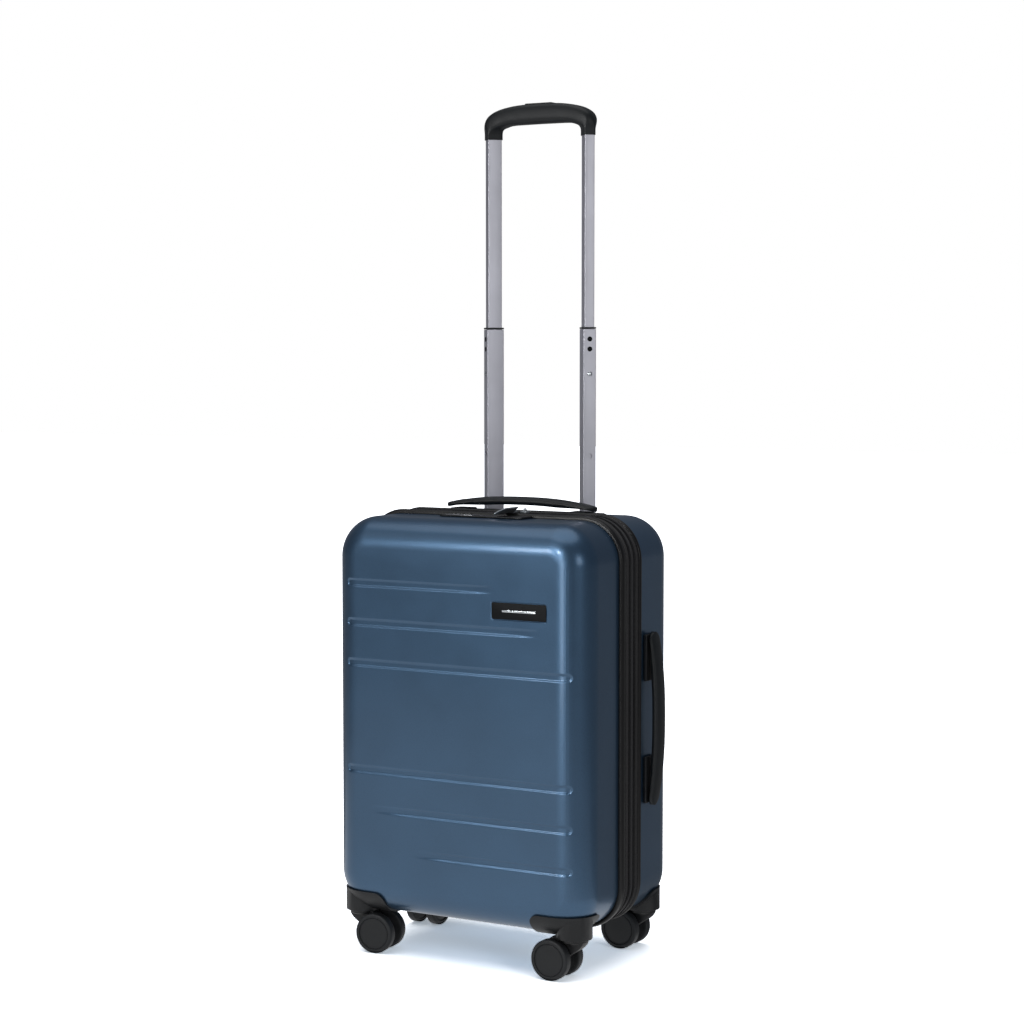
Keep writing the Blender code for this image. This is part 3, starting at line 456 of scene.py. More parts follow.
print("deepest point of the press: %.2f mm" % (press_depth(MID_X, RIBS[2][2]) * 1e3))

# %% [markdown]
# A shell starts as a box.  Its four long edges are rounded to the outline's
# radius, then the rim of its face to the softer edge radius, each with enough
# steps to look round in a close view.  The side towards the zip is opened.


# %% A pressed tray
SHEET = 0.0020


def tray_form(face_y, open_y, grow=0.0, corner_steps=22, edge_steps=18):
    bm = bmesh.new()
    depth = abs(open_y - face_y)
    size = Matrix.Diagonal((CASE_W + 2 * grow, depth, CASE_H + 2 * grow, 1.0))
    place = Matrix.Translation((MID_X, (face_y + open_y) / 2, MID_Z))
    bmesh.ops.create_cube(bm, size=1.0, matrix=place @ size)
    long_edges = [e for e in bm.edges if abs(e.verts[0].co.y - e.verts[1].co.y) > 1e-6]
    bmesh.ops.bevel(bm, geom=long_edges, offset=CORNER_R + grow, segments=corner_steps,
                    profile=0.5, affect="EDGES")
    face_edges = [e for e in bm.edges if all(abs(v.co.y - face_y) < 1e-6 for v in e.verts)]
    bmesh.ops.bevel(bm, geom=face_edges, offset=EDGE_R + grow, segments=edge_steps,
                    profile=0.5, affect="EDGES")
    return bm


def open_tray(bm, open_y):
    lids = [f for f in bm.faces if all(abs(v.co.y - open_y) < 1e-6 for v in f.verts)]
    bmesh.ops.delete(bm, geom=lids, context="FACES_ONLY")
    bmesh.ops.recalc_face_normals(bm, faces=bm.faces)
    probe = max(bm.faces, key=lambda f: f.calc_area())
    outwards = Vector((MID_X, 0.0, MID_Z)) - probe.calc_center_median()
    if probe.normal.dot(outwards) > 0:
        bmesh.ops.reverse_faces(bm, faces=bm.faces)


def shape_normal(point, face_y):
    """Outward direction of the case's own form at a point on it."""
    half_w = CASE_W / 2 - CORNER_R
    half_h = CASE_H / 2 - CORNER_R
    x = point.x - MID_X
    z = point.z - MID_Z
    over_x = max(abs(x) - half_w, 0.0)
    over_z = max(abs(z) - half_h, 0.0)
    reach = math.hypot(over_x, over_z)
    inset = CORNER_R - EDGE_R
    if reach < 1e-9:
        reach = max(abs(x) - half_w, abs(z) - half_h)
        side = Vector((math.copysign(1, x), 0, 0)) if abs(x) - half_w > abs(z) - half_h \
            else Vector((0, 0, math.copysign(1, z)))
    else:
        side = Vector((math.copysign(over_x, x), 0, math.copysign(over_z, z))) / reach
    lean = min(1.0, max(0.0, (reach - inset) / EDGE_R))
    if abs(point.y - face_y) > EDGE_R - 1e-6:
        lean = 1.0
    facing = Vector((0, math.copysign(1, face_y), 0))
    return (side * lean + facing * math.sqrt(1.0 - lean * lean)).normalized()


def double_skin(bm, face_y, thick, press=None):
    """Push the pressed shape in, then add an inner skin and close the rim."""
    outer = list(bm.verts)
    faces = list(bm.faces)
    rim = [e for e in bm.edges if e.is_boundary]
    inner = {}
    for vert in outer:
        normal = shape_normal(vert.co, face_y)
        depth = press(vert.co.x, vert.co.z) if press and abs(vert.co.y - face_y) < EDGE_R * 0.8 else 0.0
        vert.co -= normal * depth
        inner[vert] = bm.verts.new(vert.co - normal * thick)
    for face in faces:
        bm.faces.new([inner[v] for v in reversed(face.verts)])
    for edge in rim:
        a, b = edge.verts
        loop = edge.link_loops[0]
        if loop.vert is a:
            bm.faces.new((b, a, inner[a], inner[b]))
        else:
            bm.faces.new((a, b, inner[b], inner[a]))
    return bm


def make_plain(obj):
    """Replace an object's mesh by its evaluated one and drop the modifiers."""
    bpy.context.view_layer.update()
    evaluated = obj.evaluated_get(bpy.context.evaluated_depsgraph_get())
    mesh = bpy.data.meshes.new_from_object(evaluated)
    obj.modifiers.clear()
    old = obj.data
    obj.data = mesh
    bpy.data.meshes.remove(old)
    return obj


def carve(obj, cutter, operation="DIFFERENCE"):
    """One exact Boolean, made plain at once; the cutter is thrown away."""
    step = obj.modifiers.new("carve", "BOOLEAN")
    step.operation = operation
    step.solver = "EXACT"
    step.object = cutter
    make_plain(obj)
    bpy.data.objects.remove(cutter, do_unlink=True)
    obj.data.shade_smooth()
    obj.data.set_sharp_from_angle(angle=math.radians(35))
    return obj


def front_shell():
    bm = tray_form(FRONT_Y, SHELL_HI[1])
    open_tray(bm, SHELL_HI[1])
    rows, columns = cut_lines()
    for height in rows:
        near = [f for f in bm.faces if f.calc_center_median().y < FRONT_Y + EDGE_R + 0.001]
        geom = near + list({e for f in near for e in f.edges}) + list({v for f in near for v in f.verts})
        bmesh.ops.bisect_plane(bm, geom=geom, dist=1e-7, plane_co=(0, 0, height), plane_no=(0, 0, 1))
    for column in columns:
        near = [f for f in bm.faces if f.calc_center_median().y < FRONT_Y + EDGE_R - 0.001
                and 0.112 < f.calc_center_median().z < 0.488]
        geom = near + list({e for f in near for e in f.edges}) + list({v for f in near for v in f.verts})
        bmesh.ops.bisect_plane(bm, geom=geom, dist=1e-7, plane_co=(column, 0, 0), plane_no=(1, 0, 0))
    double_skin(bm, FRONT_Y, SHEET, press_depth)
    return keep("front_shell_pressed", bm, 35.0, flip=False)


lid_shell = front_shell()
print(lid_shell.name, len(lid_shell.data.polygons), "faces")

# %% The lock's opening, and the rear shell
LOCK_LO, LOCK_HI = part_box("lock_body")


def solid_box(name, xs, ys, zs, bevel=0.0, steps=3):
    bm = bmesh.new()
    size = Matrix.Diagonal((xs[1] - xs[0], ys[1] - ys[0], zs[1] - zs[0], 1.0))
    place = Matrix.Translation((sum(xs) / 2, sum(ys) / 2, sum(zs) / 2))
    bmesh.ops.create_cube(bm, size=1.0, matrix=place @ size)
    if bevel:
        bmesh.ops.bevel(bm, geom=list(bm.edges), offset=bevel, segments=steps,
                        profile=0.5, affect="EDGES")
    return keep(name, bm)


LOCK_BOX_X = (MID_X - 0.053, MID_X + 0.007)
LOCK_BOX_Y = (-0.053, -0.033)
carve(lid_shell, solid_box("lock_cutter", LOCK_BOX_X, LOCK_BOX_Y, (0.50, 0.56)))
give(lid_shell, pearl, "lid", ["front_shell"])

bm = tray_form(BACK_Y, REAR_LO[1])
open_tray(bm, REAR_LO[1])
double_skin(bm, BACK_Y, SHEET)
rear_shell = keep("rear_shell_pressed", bm, 35.0, flip=False)
print(rear_shell.name, len(rear_shell.data.polygons), "faces")

# %% [markdown]
# ## Trolley tubes
# Each tube is a rectangular aluminium section that stands cornerwise, a
# mirror image of its neighbour.  Its outline is turned about the tube's own
# centre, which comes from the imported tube, and is lofted straight up.

# %% Tube outlines
TUBE_TURN = math.radians(42.0)
TUBE_SECTIONS = {"outer": (0.0192, 0.0252), "middle": (0.0160, 0.0220), "upper": (0.0125, 0.0180)}
TUBE_WALL = 0.0010
TUBE_ROUND = 0.0009


def tube_centre(word):
    low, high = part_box("upper_tube_" + word)
    return (low[0] + high[0]) / 2, (low[1] + high[1]) / 2


def tube_loop(section, word, grow=0.0, rounding=TUBE_ROUND, steps=6, turn=TUBE_TURN):
    side = -1 if word == "left" else 1
    cx, cy = tube_centre(word)
    loop = []
    for u, v in round_profile(section[0] + 2 * grow, section[1] + 2 * grow,
                              max(rounding + grow, 0.0005), steps):
        x = u * math.cos(turn) - v * math.sin(turn)
        y = u * math.sin(turn) + v * math.cos(turn)
        loop.append((cx + side * x, cy + y))
    return loop


def prism(name, loop, low, high):
    return loft(name, [[(x, y, z) for x, y in loop] for z in (low, high)])


for word in ("left", "right"):
    hole = tube_loop(TUBE_SECTIONS["middle"], word, 0.0010)
    carve(rear_shell, prism("tube_cutter", hole, 0.50, 0.56))
give(rear_shell, pearl, "case", ["rear_shell"])
print("tube centres", tube_centre("left"), tube_centre("right"))


# %% The tubes themselves
def open_tube(name, section, word, low, high):
    """Tube with a real wall: outer skin, inner skin and two rims."""
    outer = tube_loop(section, word)
    inner = tube_loop(section, word, -TUBE_WALL)
    lip = 0.0003
    outer_lip = tube_loop(section, word, -lip)
    inner_lip = tube_loop(section, word, -TUBE_WALL + lip)
    rows = [(outer, low + lip), (outer, high - lip), (outer_lip, high), (inner_lip, high),
            (inner, high - lip), (inner, low + lip), (inner_lip, low), (outer_lip, low)]
    return loft(name, [[(x, y, z) for x, y in loop] for loop, z in rows], closed_way=True)


def face_frame(word, height, section):
    """Matrix whose Z looks out of the drilled face, at the face's middle."""
    side = -1 if word == "left" else 1
    cx, cy = tube_centre(word)
    normal = Vector((side * math.sin(TUBE_TURN), -math.cos(TUBE_TURN), 0.0))
    across = Vector((side * math.cos(TUBE_TURN), math.sin(TUBE_TURN), 0.0))
    up = normal.cross(across)
    spot = Vector((cx, cy, height)) + normal * (section[1] / 2)
    return Matrix.Translation(spot) @ Matrix((across, up, normal)).transposed().to_4x4()


def turned(name, profile, matrix, steps=24):
    """Turned shape: profile of (radius, height) about the matrix's Z axis."""
    bm = bmesh.new()
    rows = []
    for radius, height in profile:
        if radius < 1e-7:
            rows.append([bm.verts.new(matrix @ Vector((0.0, 0.0, height)))])
            continue
        rows.append([bm.verts.new(matrix @ Vector((radius * math.cos(math.tau * k / steps),
                                                   radius * math.sin(math.tau * k / steps), height)))
                     for k in range(steps)])
    for near, far in zip(rows, rows[1:]):
        for k in range(steps):
            ring = [near[k % len(near)], near[(k + 1) % len(near)],
                    far[(k + 1) % len(far)], far[k % len(far)]]
            bm.faces.new(list(dict.fromkeys(ring)))
    if len(rows[0]) > 1 and len(rows[-1]) > 1:
        if rows[0][0].co != rows[-1][0].co:
            bm.faces.new(rows[0][::-1])
            bm.faces.new(rows[-1])
    return keep(name, bm)


PIN_HEIGHT = 0.7199
SPARE_HEIGHT = 0.6171
PLUG_HEIGHTS = (0.7636, 0.7511)
HOLE_R = 0.0032
SOCKET_DEPTH = 0.0100
for word in ("left", "right"):
    low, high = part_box("middle_tube_" + word)
    tube = open_tube("middle_tube_drawn_" + word, TUBE_SECTIONS["middle"], word, low[2], high[2])
    for height in (PIN_HEIGHT, SPARE_HEIGHT):
        spot = face_frame(word, height, TUBE_SECTIONS["middle"])
        carve(tube, turned("drill", ((0, -0.004), (HOLE_R, -0.004), (HOLE_R, 0.003), (0, 0.003)), spot))
    give(tube, grey_anodised, "trolley_middle", ["middle_tube_" + word])
    low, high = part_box("upper_tube_" + word)
    socket_end = min(high[2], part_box("trolley_grip")[0][2] + SOCKET_DEPTH)
    tube = open_tube("upper_tube_drawn_" + word, TUBE_SECTIONS["upper"], word, low[2], socket_end)
    give(tube, grey_anodised, "trolley_upper", ["upper_tube_" + word])
    low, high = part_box("outer_tube_" + word)
    tube = open_tube("outer_tube_drawn_" + word, TUBE_SECTIONS["outer"], word, low[2], high[2])
    give(tube, grey_anodised, "case", ["outer_tube_" + word])
print("six tubes drawn")

# %% [markdown]
# The lower stage ends in a thin plastic collar that guides the upper stage.
# Two moulded plugs snap through the drilled face to hold the collar's sleeve,
# and the plated head of the locking pin shows in its window.  A plug and a
# pin head are turned shapes, set square to the drilled face.

# %% Collars, plugs and pin heads
for word in ("left", "right"):
    low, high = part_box("middle_collar_" + word)
    section = TUBE_SECTIONS["middle"]
    outer = [tube_loop(section, word, grow) for grow in (-0.0002, 0.0003, 0.0003, -0.0002)]
    inner = tube_loop(TUBE_SECTIONS["upper"], word, 0.0004)
    heights = (low[2], low[2] + 0.0004, high[2] - 0.0005, high[2])
    rows = [[(x, y, z) for x, y in loop] for loop, z in zip(outer, heights)]
    rows += [[(x, y, z) for x, y in inner] for z in (high[2], low[2])]
    collar = loft("collar_ring_" + word, rows, closed_way=True)
    give(collar, black_trim, "trolley_middle", ["middle_collar_" + word])
    for number, height in enumerate(PLUG_HEIGHTS, 1):
        spot = face_frame(word, height, section)
        plug = turned("collar_plug_%s_%d" % (word, number),
                      ((0, -0.0006), (0.0032, -0.0006), (0.0032, 0.0001), (0.0028, 0.0003), (0, 0.0004)),
                      spot)
        give(plug, badge_black, "trolley_middle")
    spot = face_frame(word, PIN_HEIGHT, section)
    head = turned("pin_head_" + word,
                  ((0, -0.0008), (0.0024, -0.0008), (0.0024, -0.0002), (0.0019, 0.0002),
                   (0.0010, 0.0003), (0, 0.0004)), spot)
    give(head, bright_steel, "trolley_middle")
print("collars, plugs and pin heads placed")

# %% [markdown]
# ## The trolley grip
# The grip is one soft-touch moulding: two short legs that hold the tubes, and
# a bar that bows up between them.  It is a loft.  A row of cross-sections runs
# from the left leg's end, round the corner, along the bar and down the other
# side; each is a rounded rectangle that turns from the tube's cornerwise stand
# to the bar's level stand.

# %% Grip sections
GRIP_LO, GRIP_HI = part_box("trolley_grip")
BUTTON_LO, BUTTON_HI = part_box("grip_button")
GRIP_TOP = GRIP_HI[2]
GRIP_Y = (GRIP_LO[1] + GRIP_HI[1]) / 2
LEG_END = GRIP_LO[2]
GRIP_MID_X = (tube_centre("left")[0] + tube_centre("right")[0]) / 2
LEG_X = tube_centre("right")[0] - GRIP_MID_X
TOP_LINE = ((0.0, 0.0), (0.021, -0.0001), (0.034, -0.0009), (0.046, -0.0026), (0.057, -0.0050),
            (0.066, -0.0084), (0.0730, -0.0130), (0.0775, -0.0190), (0.0800, -0.0265),
            (0.0808, -0.0345), (0.0808, -0.0423))
UNDER_LINE = ((0.0, -0.0250), (0.020, -0.0251), (0.034, -0.0252), (0.0440, -0.0257), (0.0495, -0.0270),
              (0.0530, -0.0292), (0.0552, -0.0318), (0.0562, -0.0345), (0.0566, -0.0370), (0.0567, -0.0395),
              (0.0567, -0.0423))


def spline_points(points, count):
    """Even samples of a Catmull-Rom curve through the points."""
    padded = [points[0]] + list(points) + [points[-1]]
    dense = []
    for k in range(len(points) - 1):
        p0, p1, p2, p3 = (Vector(p) for p in padded[k:k + 4])
        for j in range(12):
            t = j / 12
            dense.append(0.5 * (2 * p1 + (p2 - p0) * t + (2 * p0 - 5 * p1 + 4 * p2 - p3) * t * t
                                + (3 * p1 - p0 - 3 * p2 + p3) * t ** 3))
    dense.append(Vector(points[-1]))
    total = [0.0]
    for a, b in zip(dense, dense[1:]):
        total.append(total[-1] + (b - a).length)
    result = []
    k = 0
    for j in range(count):
        want = total[-1] * j / (count - 1)
        while k < len(dense) - 2 and total[k + 1] < want:
            k += 1
        span = total[k + 1] - total[k] or 1.0
        result.append(dense[k].lerp(dense[k + 1], min(1.0, (want - total[k]) / span)))
    return result


def grip_sections(count=34, ring=36):
    """Cross-sections of the right half, from the middle out to the leg's end."""
    upper = spline_points(TOP_LINE, count)
    under = spline_points(UNDER_LINE, count)
    sections = []
    for a, b in zip(upper, under):
        middle = (a + b) / 2
        span = a - b
        tall = span.length
        up = Vector((span.x, 0.0, span.y)).normalized()
        leg = smooth_step((abs(middle.x) - 0.048) / 0.020)
        legness = smooth_step(((-middle.y) - 0.020) / 0.016) * leg
        deep = (GRIP_HI[1] - GRIP_LO[1]) * (1 - legness) + 0.0235 * legness
        loop = []
        for k in range(ring):
            turn = math.tau * k / ring
            c, s = math.cos(turn), math.sin(turn)
            power = 2.0 / 3.2
            u = math.copysign(abs(c) ** power, c) * tall / 2
            v = math.copysign(abs(s) ** power, s) * deep / 2
            point = Vector((middle.x, 0.0, middle.y)) + up * u + Vector((0, v, 0))
            if legness > 0.0:
                pu, pv = leg_point(c, s)
                goal = Vector((LEG_X + pu, pv, middle.y))
                point = point.lerp(goal, legness)
            loop.append(point)
        sections.append(loop)
    return sections


def leg_point(c, s, section=(0.0152, 0.0206)):
    """Matching point on the leg's cornerwise outline."""
    power = 2.0 / 9.0
    angle = math.atan2(s, c)
    turn = TUBE_TURN
    local = angle - turn
    cu, su = math.cos(local), math.sin(local)
    u = math.copysign(abs(cu) ** power, cu) * section[0] / 2
    v = math.copysign(abs(su) ** power, su) * section[1] / 2
    return u * math.cos(turn) - v * math.sin(turn), u * math.sin(turn) + v * math.cos(turn)


half = grip_sections()
loops = []
for loop in half[::-1]:
    loops.append([Vector((-p.x, p.y, p.z)) for p in loop])
for loop in half[1:]:
    loops.append([Vector(p) for p in loop])
for loop in loops:
    for point in loop:
        point.x += GRIP_MID_X
        point.y += GRIP_Y
        point.z += GRIP_TOP
trolley_grip = loft("trolley_grip_moulded", loops, smooth=60.0)
for word in ("left", "right"):
    socket = tube_loop(TUBE_SECTIONS["upper"], word, 0.0003)
    carve(trolley_grip, prism("socket_cutter", socket, LEG_END - 0.01, LEG_END + SOCKET_DEPTH + 0.0004))
seat_y = (BUTTON_LO[1] - 0.0004, BUTTON_HI[1] + 0.0004)
carve(trolley_grip, solid_box("seat_cutter", (BUTTON_LO[0] - 0.0004, BUTTON_HI[0] + 0.0004),
                              seat_y, (BUTTON_LO[2] - 0.0034, GRIP_TOP + 0.01)))
give(trolley_grip, soft_grip, "trolley_upper", ["trolley_grip"])
button = solid_box("grip_button_cap", (BUTTON_LO[0] + 0.0010, BUTTON_HI[0] - 0.0010),
                   (BUTTON_LO[1], BUTTON_HI[1]), (BUTTON_LO[2], BUTTON_HI[2] - 0.0008), 0.0012, 4)
give(button, black_trim, "grip_button", ["grip_button"])
print(trolley_grip.name, len(trolley_grip.data.polygons), "faces")

# %% [markdown]
# ## The zipped band
# Two black piping rims cover the edges of the shells.  Between them run the
# cloth tapes of two zips: the main one that opens the lid and the one that
# lets the case grow.  Every ring is the case's outline swept with its own
# profile, so corners stay concentric and the gaps stay even.

# %% Rims and tapes
RIM_OUT = 0.0054
RIM_LAP = 0.0036


def rim_profile(node):
    low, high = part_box(node)
    near, far = low[1], high[1]
    lap = low[1] - (RIM_LAP if node == "front_rim" else 0.0)
    middle = (lap + far) / 2
    half = (far - lap) / 2
    points = []
    for k in range(17):
        turn = math.pi * k / 16
        points.append((0.0006 + (RIM_OUT - 0.0006) * math.sin(turn) ** 0.55, middle - half * math.cos(turn)))
    points += [(-0.0024, far), (-0.0024, near)]
    return points + [(0.0003, near), (0.0003, lap)] if lap < near else points


def tape_profile(node, out=0.0032, thick=0.0018, crown=0.0):
    low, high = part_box(node)
    near, far = low[1], high[1]
    steps = 8
    top = []
    for k in range(steps + 1):
        t = k / steps
        top.append((out + crown * math.sin(math.pi * t), near + (far - near) * t))
    return top + [(out - thick, far), (out - thick, near)]


give(around_case("front_piping", rim_profile("front_rim")), piping_black, "lid", ["front_rim"])
give(around_case("rear_piping", rim_profile("rear_rim")), piping_black, "case", ["rear_rim"])
give(around_case("front_zip_cloth", tape_profile("front_zip_tape")), zip_cloth, "lid",
     ["front_zip_tape"])
give(around_case("middle_band_cloth", tape_profile("middle_band")), band_cloth, "expander",
     ["middle_band"])
give(around_case("rear_zip_cloth", tape_profile("rear_zip_tape")), zip_cloth, "case",
     ["rear_zip_tape"])
print("rims and tapes swept")

# %% [markdown]
# ### Zip teeth
# A nylon zip is a coil sewn along each tape's edge.  From outside each turn of
# the coil shows as one small bar across the zip.  More than a thousand of them
# run round the case, so Geometry Nodes place them: the path is resampled at the
# coil's pitch, one bar is set at each point, turned to the path's direction and
# to the outside of the case, and everything is realised into one plain mesh.


# %% A tree that sets small bars along a path
def bar_tree(name):
    """Node group: bars of a given size at a pitch along the incoming polyline."""
    tree = bpy.data.node_groups.new(name, "GeometryNodeTree")
    face = tree.interface
    face.new_socket("Geometry", in_out="INPUT", socket_type="NodeSocketGeometry")
    face.new_socket("Pitch", in_out="INPUT", socket_type="NodeSocketFloat")
    face.new_socket("Bar Size", in_out="INPUT", socket_type="NodeSocketVector")
    face.new_socket("Finish", in_out="INPUT", socket_type="NodeSocketMaterial")
    face.new_socket("Geometry", in_out="OUTPUT", socket_type="NodeSocketGeometry")
    nodes, links = tree.nodes, tree.links
    source = nodes.new("NodeGroupInput")
    result = nodes.new("NodeGroupOutput")
    to_curve = nodes.new("GeometryNodeMeshToCurve")
    resample = nodes.new("GeometryNodeResampleCurve")
    resample.mode = "LENGTH"
    tangent = nodes.new("GeometryNodeInputTangent")
    depth_way = nodes.new("FunctionNodeInputVector")
    depth_way.vector = (0.0, 1.0, 0.0)
    axes = nodes.new("FunctionNodeAxesToRotation")
    axes.primary_axis = "X"
    axes.secondary_axis = "Y"
    bar = nodes.new("GeometryNodeMeshCube")
    place = nodes.new("GeometryNodeInstanceOnPoints")
    real = nodes.new("GeometryNodeRealizeInstances")
    finish = nodes.new("GeometryNodeSetMaterial")
    links.new(source.outputs["Geometry"], to_curve.inputs["Mesh"])
    links.new(to_curve.outputs["Curve"], resample.inputs["Curve"])
    links.new(source.outputs["Pitch"], resample.inputs["Length"])
    links.new(resample.outputs["Curve"], place.inputs["Points"])
    links.new(tangent.outputs["Tangent"], axes.inputs["Primary Axis"])
    links.new(depth_way.outputs["Vector"], axes.inputs["Secondary Axis"])
    links.new(axes.outputs["Rotation"], place.inputs["Rotation"])
    links.new(source.outputs["Bar Size"], bar.inputs["Size"])
    links.new(bar.outputs["Mesh"], place.inputs["Instance"])
    links.new(place.outputs["Instances"], real.inputs["Geometry"])
    links.new(real.outputs["Geometry"], finish.inputs["Geometry"])
    links.new(source.outputs["Finish"], finish.inputs["Material"])
    links.new(finish.outputs["Geometry"], result.inputs["Geometry"])
    return tree


BARS = bar_tree("bars_along_a_path")


def bars_along(name, points, pitch, size, finish, closed=True):
    """Run the tree on a polyline and keep the outcome as a plain mesh."""
    mesh = bpy.data.meshes.new(name)
    edges = [(k, k + 1) for k in range(len(points) - 1)]
    if closed:
        edges.append((len(points) - 1, 0))
    mesh.from_pydata(points, edges, [])
    obj = bpy.data.objects.new(name, mesh)
    bpy.context.scene.collection.objects.link(obj)
    step = obj.modifiers.new("bars", "NODES")
    step.node_group = BARS
    sockets = {item.name: item.identifier for item in BARS.interface.items_tree if item.in_out == "INPUT"}
    step[sockets["Pitch"]] = pitch
    step[sockets["Bar Size"]] = size
    step[sockets["Finish"]] = finish
    return make_plain(obj)


def ring_path(out, y):
    return [(x, y, z) for x, z in outline(-out, steps=28, straight=10)]


MAIN_ZIP_Y = (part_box("front_zip_tape")[1][1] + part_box("middle_band")[0][1]) / 2
SIDE_ZIP_Y = (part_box("middle_band")[1][1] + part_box("rear_zip_tape")[0][1]) / 2
TOOTH = (0.0008, 0.0022, 0.0011)
TOOTH_PITCH = 0.0015
ZIP_OUT = 0.0036
for label, zip_y, front_body, rear_body in (("main", MAIN_ZIP_Y, "lid", "expander"),
                                            ("growth", SIDE_ZIP_Y, "expander", "case")):
    for half_name, shift, body in (("front", -0.0014, front_body), ("rear", 0.0014, rear_body)):
        teeth = bars_along("%s_zip_teeth_%s" % (label, half_name), ring_path(ZIP_OUT, zip_y + shift),
                           TOOTH_PITCH, TOOTH, nylon_teeth)
        give(teeth, nylon_teeth, body)
print("zip teeth:", sum(len(p.data.polygons) // 6 for p in PIECES if "teeth" in p.name))

# %% [markdown]
# ### Stitches
# The tapes are sewn to the piping with a row of long stitches at each rim.
# The same tree makes them with a longer pitch and a thinner bar.

# %% Stitch rows
STITCH = (0.0026, 0.0005, 0.0005)
STITCH_PITCH = 0.0038
FRONT_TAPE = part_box("front_zip_tape")
REAR_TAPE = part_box("rear_zip_tape")
for name, y, body in (("front_stitches", FRONT_TAPE[0][1] + 0.0014, "lid"),
                      ("rear_stitches", REAR_TAPE[1][1] - 0.0014, "case")):
    row = bars_along(name, ring_path(0.0033, y), STITCH_PITCH, STITCH, thread_black)
    give(row, thread_black, body)
print("two stitch rows sewn")

# %% [markdown]
# ## Badge
# A slim black plate sits in its recess.  It stays without a name: a thin
# inlaid bar of metal marks it instead.

# %% Badge plate and its inlay
BADGE_X = ((BADGE_LO[0] + BADGE_HI[0]) / 2, (BADGE_HI[0] - BADGE_LO[0]) / 2)
BADGE_Z = ((BADGE_LO[2] + BADGE_HI[2]) / 2, (BADGE_HI[2] - BADGE_LO[2]) / 2)


def plate_on_front(name, cx, cz, half_x, half_z, radius, back, front, edge):
    """Flat plate that faces the front, with a small chamfer at its face."""
    rows = []
    for y, inset in ((back, 0.0), (front + edge, 0.0), (front + edge * 0.3, edge * 0.3), (front, edge)):
        loop = round_profile(2 * (half_x - inset), 2 * (half_z - inset), radius - inset * 0.5, 5)
        rows.append([(cx + u, y, cz + v) for u, v in loop])
    return loft(name, rows, smooth=30.0)


badge = plate_on_front("badge_face", BADGE_X[0], BADGE_Z[0], BADGE_X[1], BADGE_Z[1], 0.0016,
                       FRONT_Y + BADGE_DEPTH - 0.0001, FRONT_Y + 0.0001, 0.0004)
give(badge, badge_black, "lid", ["badge_plate"])
bar = plate_on_front("badge_inlay", BADGE_X[0], BADGE_Z[0], 0.0230, 0.0011, 0.0010,
                     FRONT_Y + 0.0004, FRONT_Y, 0.0001)
give(bar, bright_steel, "lid")
print("badge at", [round(v, 4) for v in BADGE_LO])

# %% [markdown]
# ## Lock and zip pulls
# The lock is a black body let into the lid's top edge.  Three dials stand a
# little proud of it, with their numbers round the rim.  The two sliders of the
# main zip meet beside it and share one broad metal pull that lies on the lock.

# %% Lock body
LOCK_BACK = LOCK_HI[1]
DIAL_BOXES = [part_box("lock_dial_%d" % number) for number in (1, 2, 3)]
DIAL_R = (DIAL_BOXES[0][1][2] - DIAL_BOXES[0][0][2]) / 2
DIAL_Y = (DIAL_BOXES[0][1][1] + DIAL_BOXES[0][0][1]) / 2
DIAL_Z = DIAL_BOXES[0][1][2] - DIAL_R
PLATE_X = (LOCK_LO[0], MID_X + 0.0440)
PLATE_Y = (LOCK_LO[1] + 0.002, LOCK_BACK)
PLATE_TOP = CASE_TOP + 0.0025
lock_body = solid_box("lock_case", PLATE_X, PLATE_Y, (CASE_TOP + 0.0004, PLATE_TOP), 0.0010, 3)
carve(lock_body, solid_box("joiner", (LOCK_BOX_X[0] + 0.001, LOCK_BOX_X[1] - 0.001),
                           (LOCK_BOX_Y[0] + 0.001, LOCK_BOX_Y[1] - 0.001),
                           (LOCK_LO[2], CASE_TOP + 0.0012)), "UNION")
carve(lock_body, solid_box("dock", (MID_X + 0.0430, LOCK_HI[0]), (LOCK_LO[1], LOCK_BACK),
                           (CASE_TOP + 0.0004, LOCK_HI[2]), 0.0008, 3), "UNION")
for low, high in DIAL_BOXES:
    carve(lock_body, solid_box("slot", (low[0] - 0.0004, high[0] + 0.0004),
                               (DIAL_Y - DIAL_R - 0.0004, DIAL_Y + DIAL_R + 0.0004),
                               (DIAL_Z - DIAL_R - 0.0004, PLATE_TOP + 0.004)))
KEY_SPOT = Matrix.Translation((MID_X - 0.0050, DIAL_Y, PLATE_TOP))
carve(lock_body, turned("key_well", ((0, -0.0006), (0.0030, -0.0006), (0.0034, 0.002), (0, 0.002)), KEY_SPOT))
give(lock_body, black_trim, "lid", ["lock_body"])
frame_plate = solid_box("lock_dial_plate", (DIAL_BOXES[0][0][0] - 0.0045, DIAL_BOXES[2][1][0] + 0.0045),
                        (DIAL_Y - 0.0085, DIAL_Y + 0.0085),
                        (PLATE_TOP - 0.0003, PLATE_TOP + 0.0004), 0.0003, 2)
for low, high in DIAL_BOXES:
    carve(frame_plate, solid_box("slot", (low[0] - 0.0004, high[0] + 0.0004),
                                 (DIAL_Y - DIAL_R - 0.0004, DIAL_Y + DIAL_R + 0.0004),
                                 (PLATE_TOP - 0.004, PLATE_TOP + 0.004)))
give(frame_plate, plated_zinc, "lid")
key_core = turned("key_core", ((0, -0.0005), (0.0026, -0.0005), (0.0026, -0.0001), (0.0023, 0.0001),
                               (0, 0.0001)), KEY_SPOT)
carve(key_core, solid_box("key_slit", (MID_X - 0.0053, MID_X - 0.0047), (DIAL_Y - 0.0016, DIAL_Y + 0.0016),
                          (PLATE_TOP - 0.0003, PLATE_TOP + 0.002)))
give(key_core, plated_zinc, "lid")
print("lock body", len(lock_body.data.polygons), "faces")

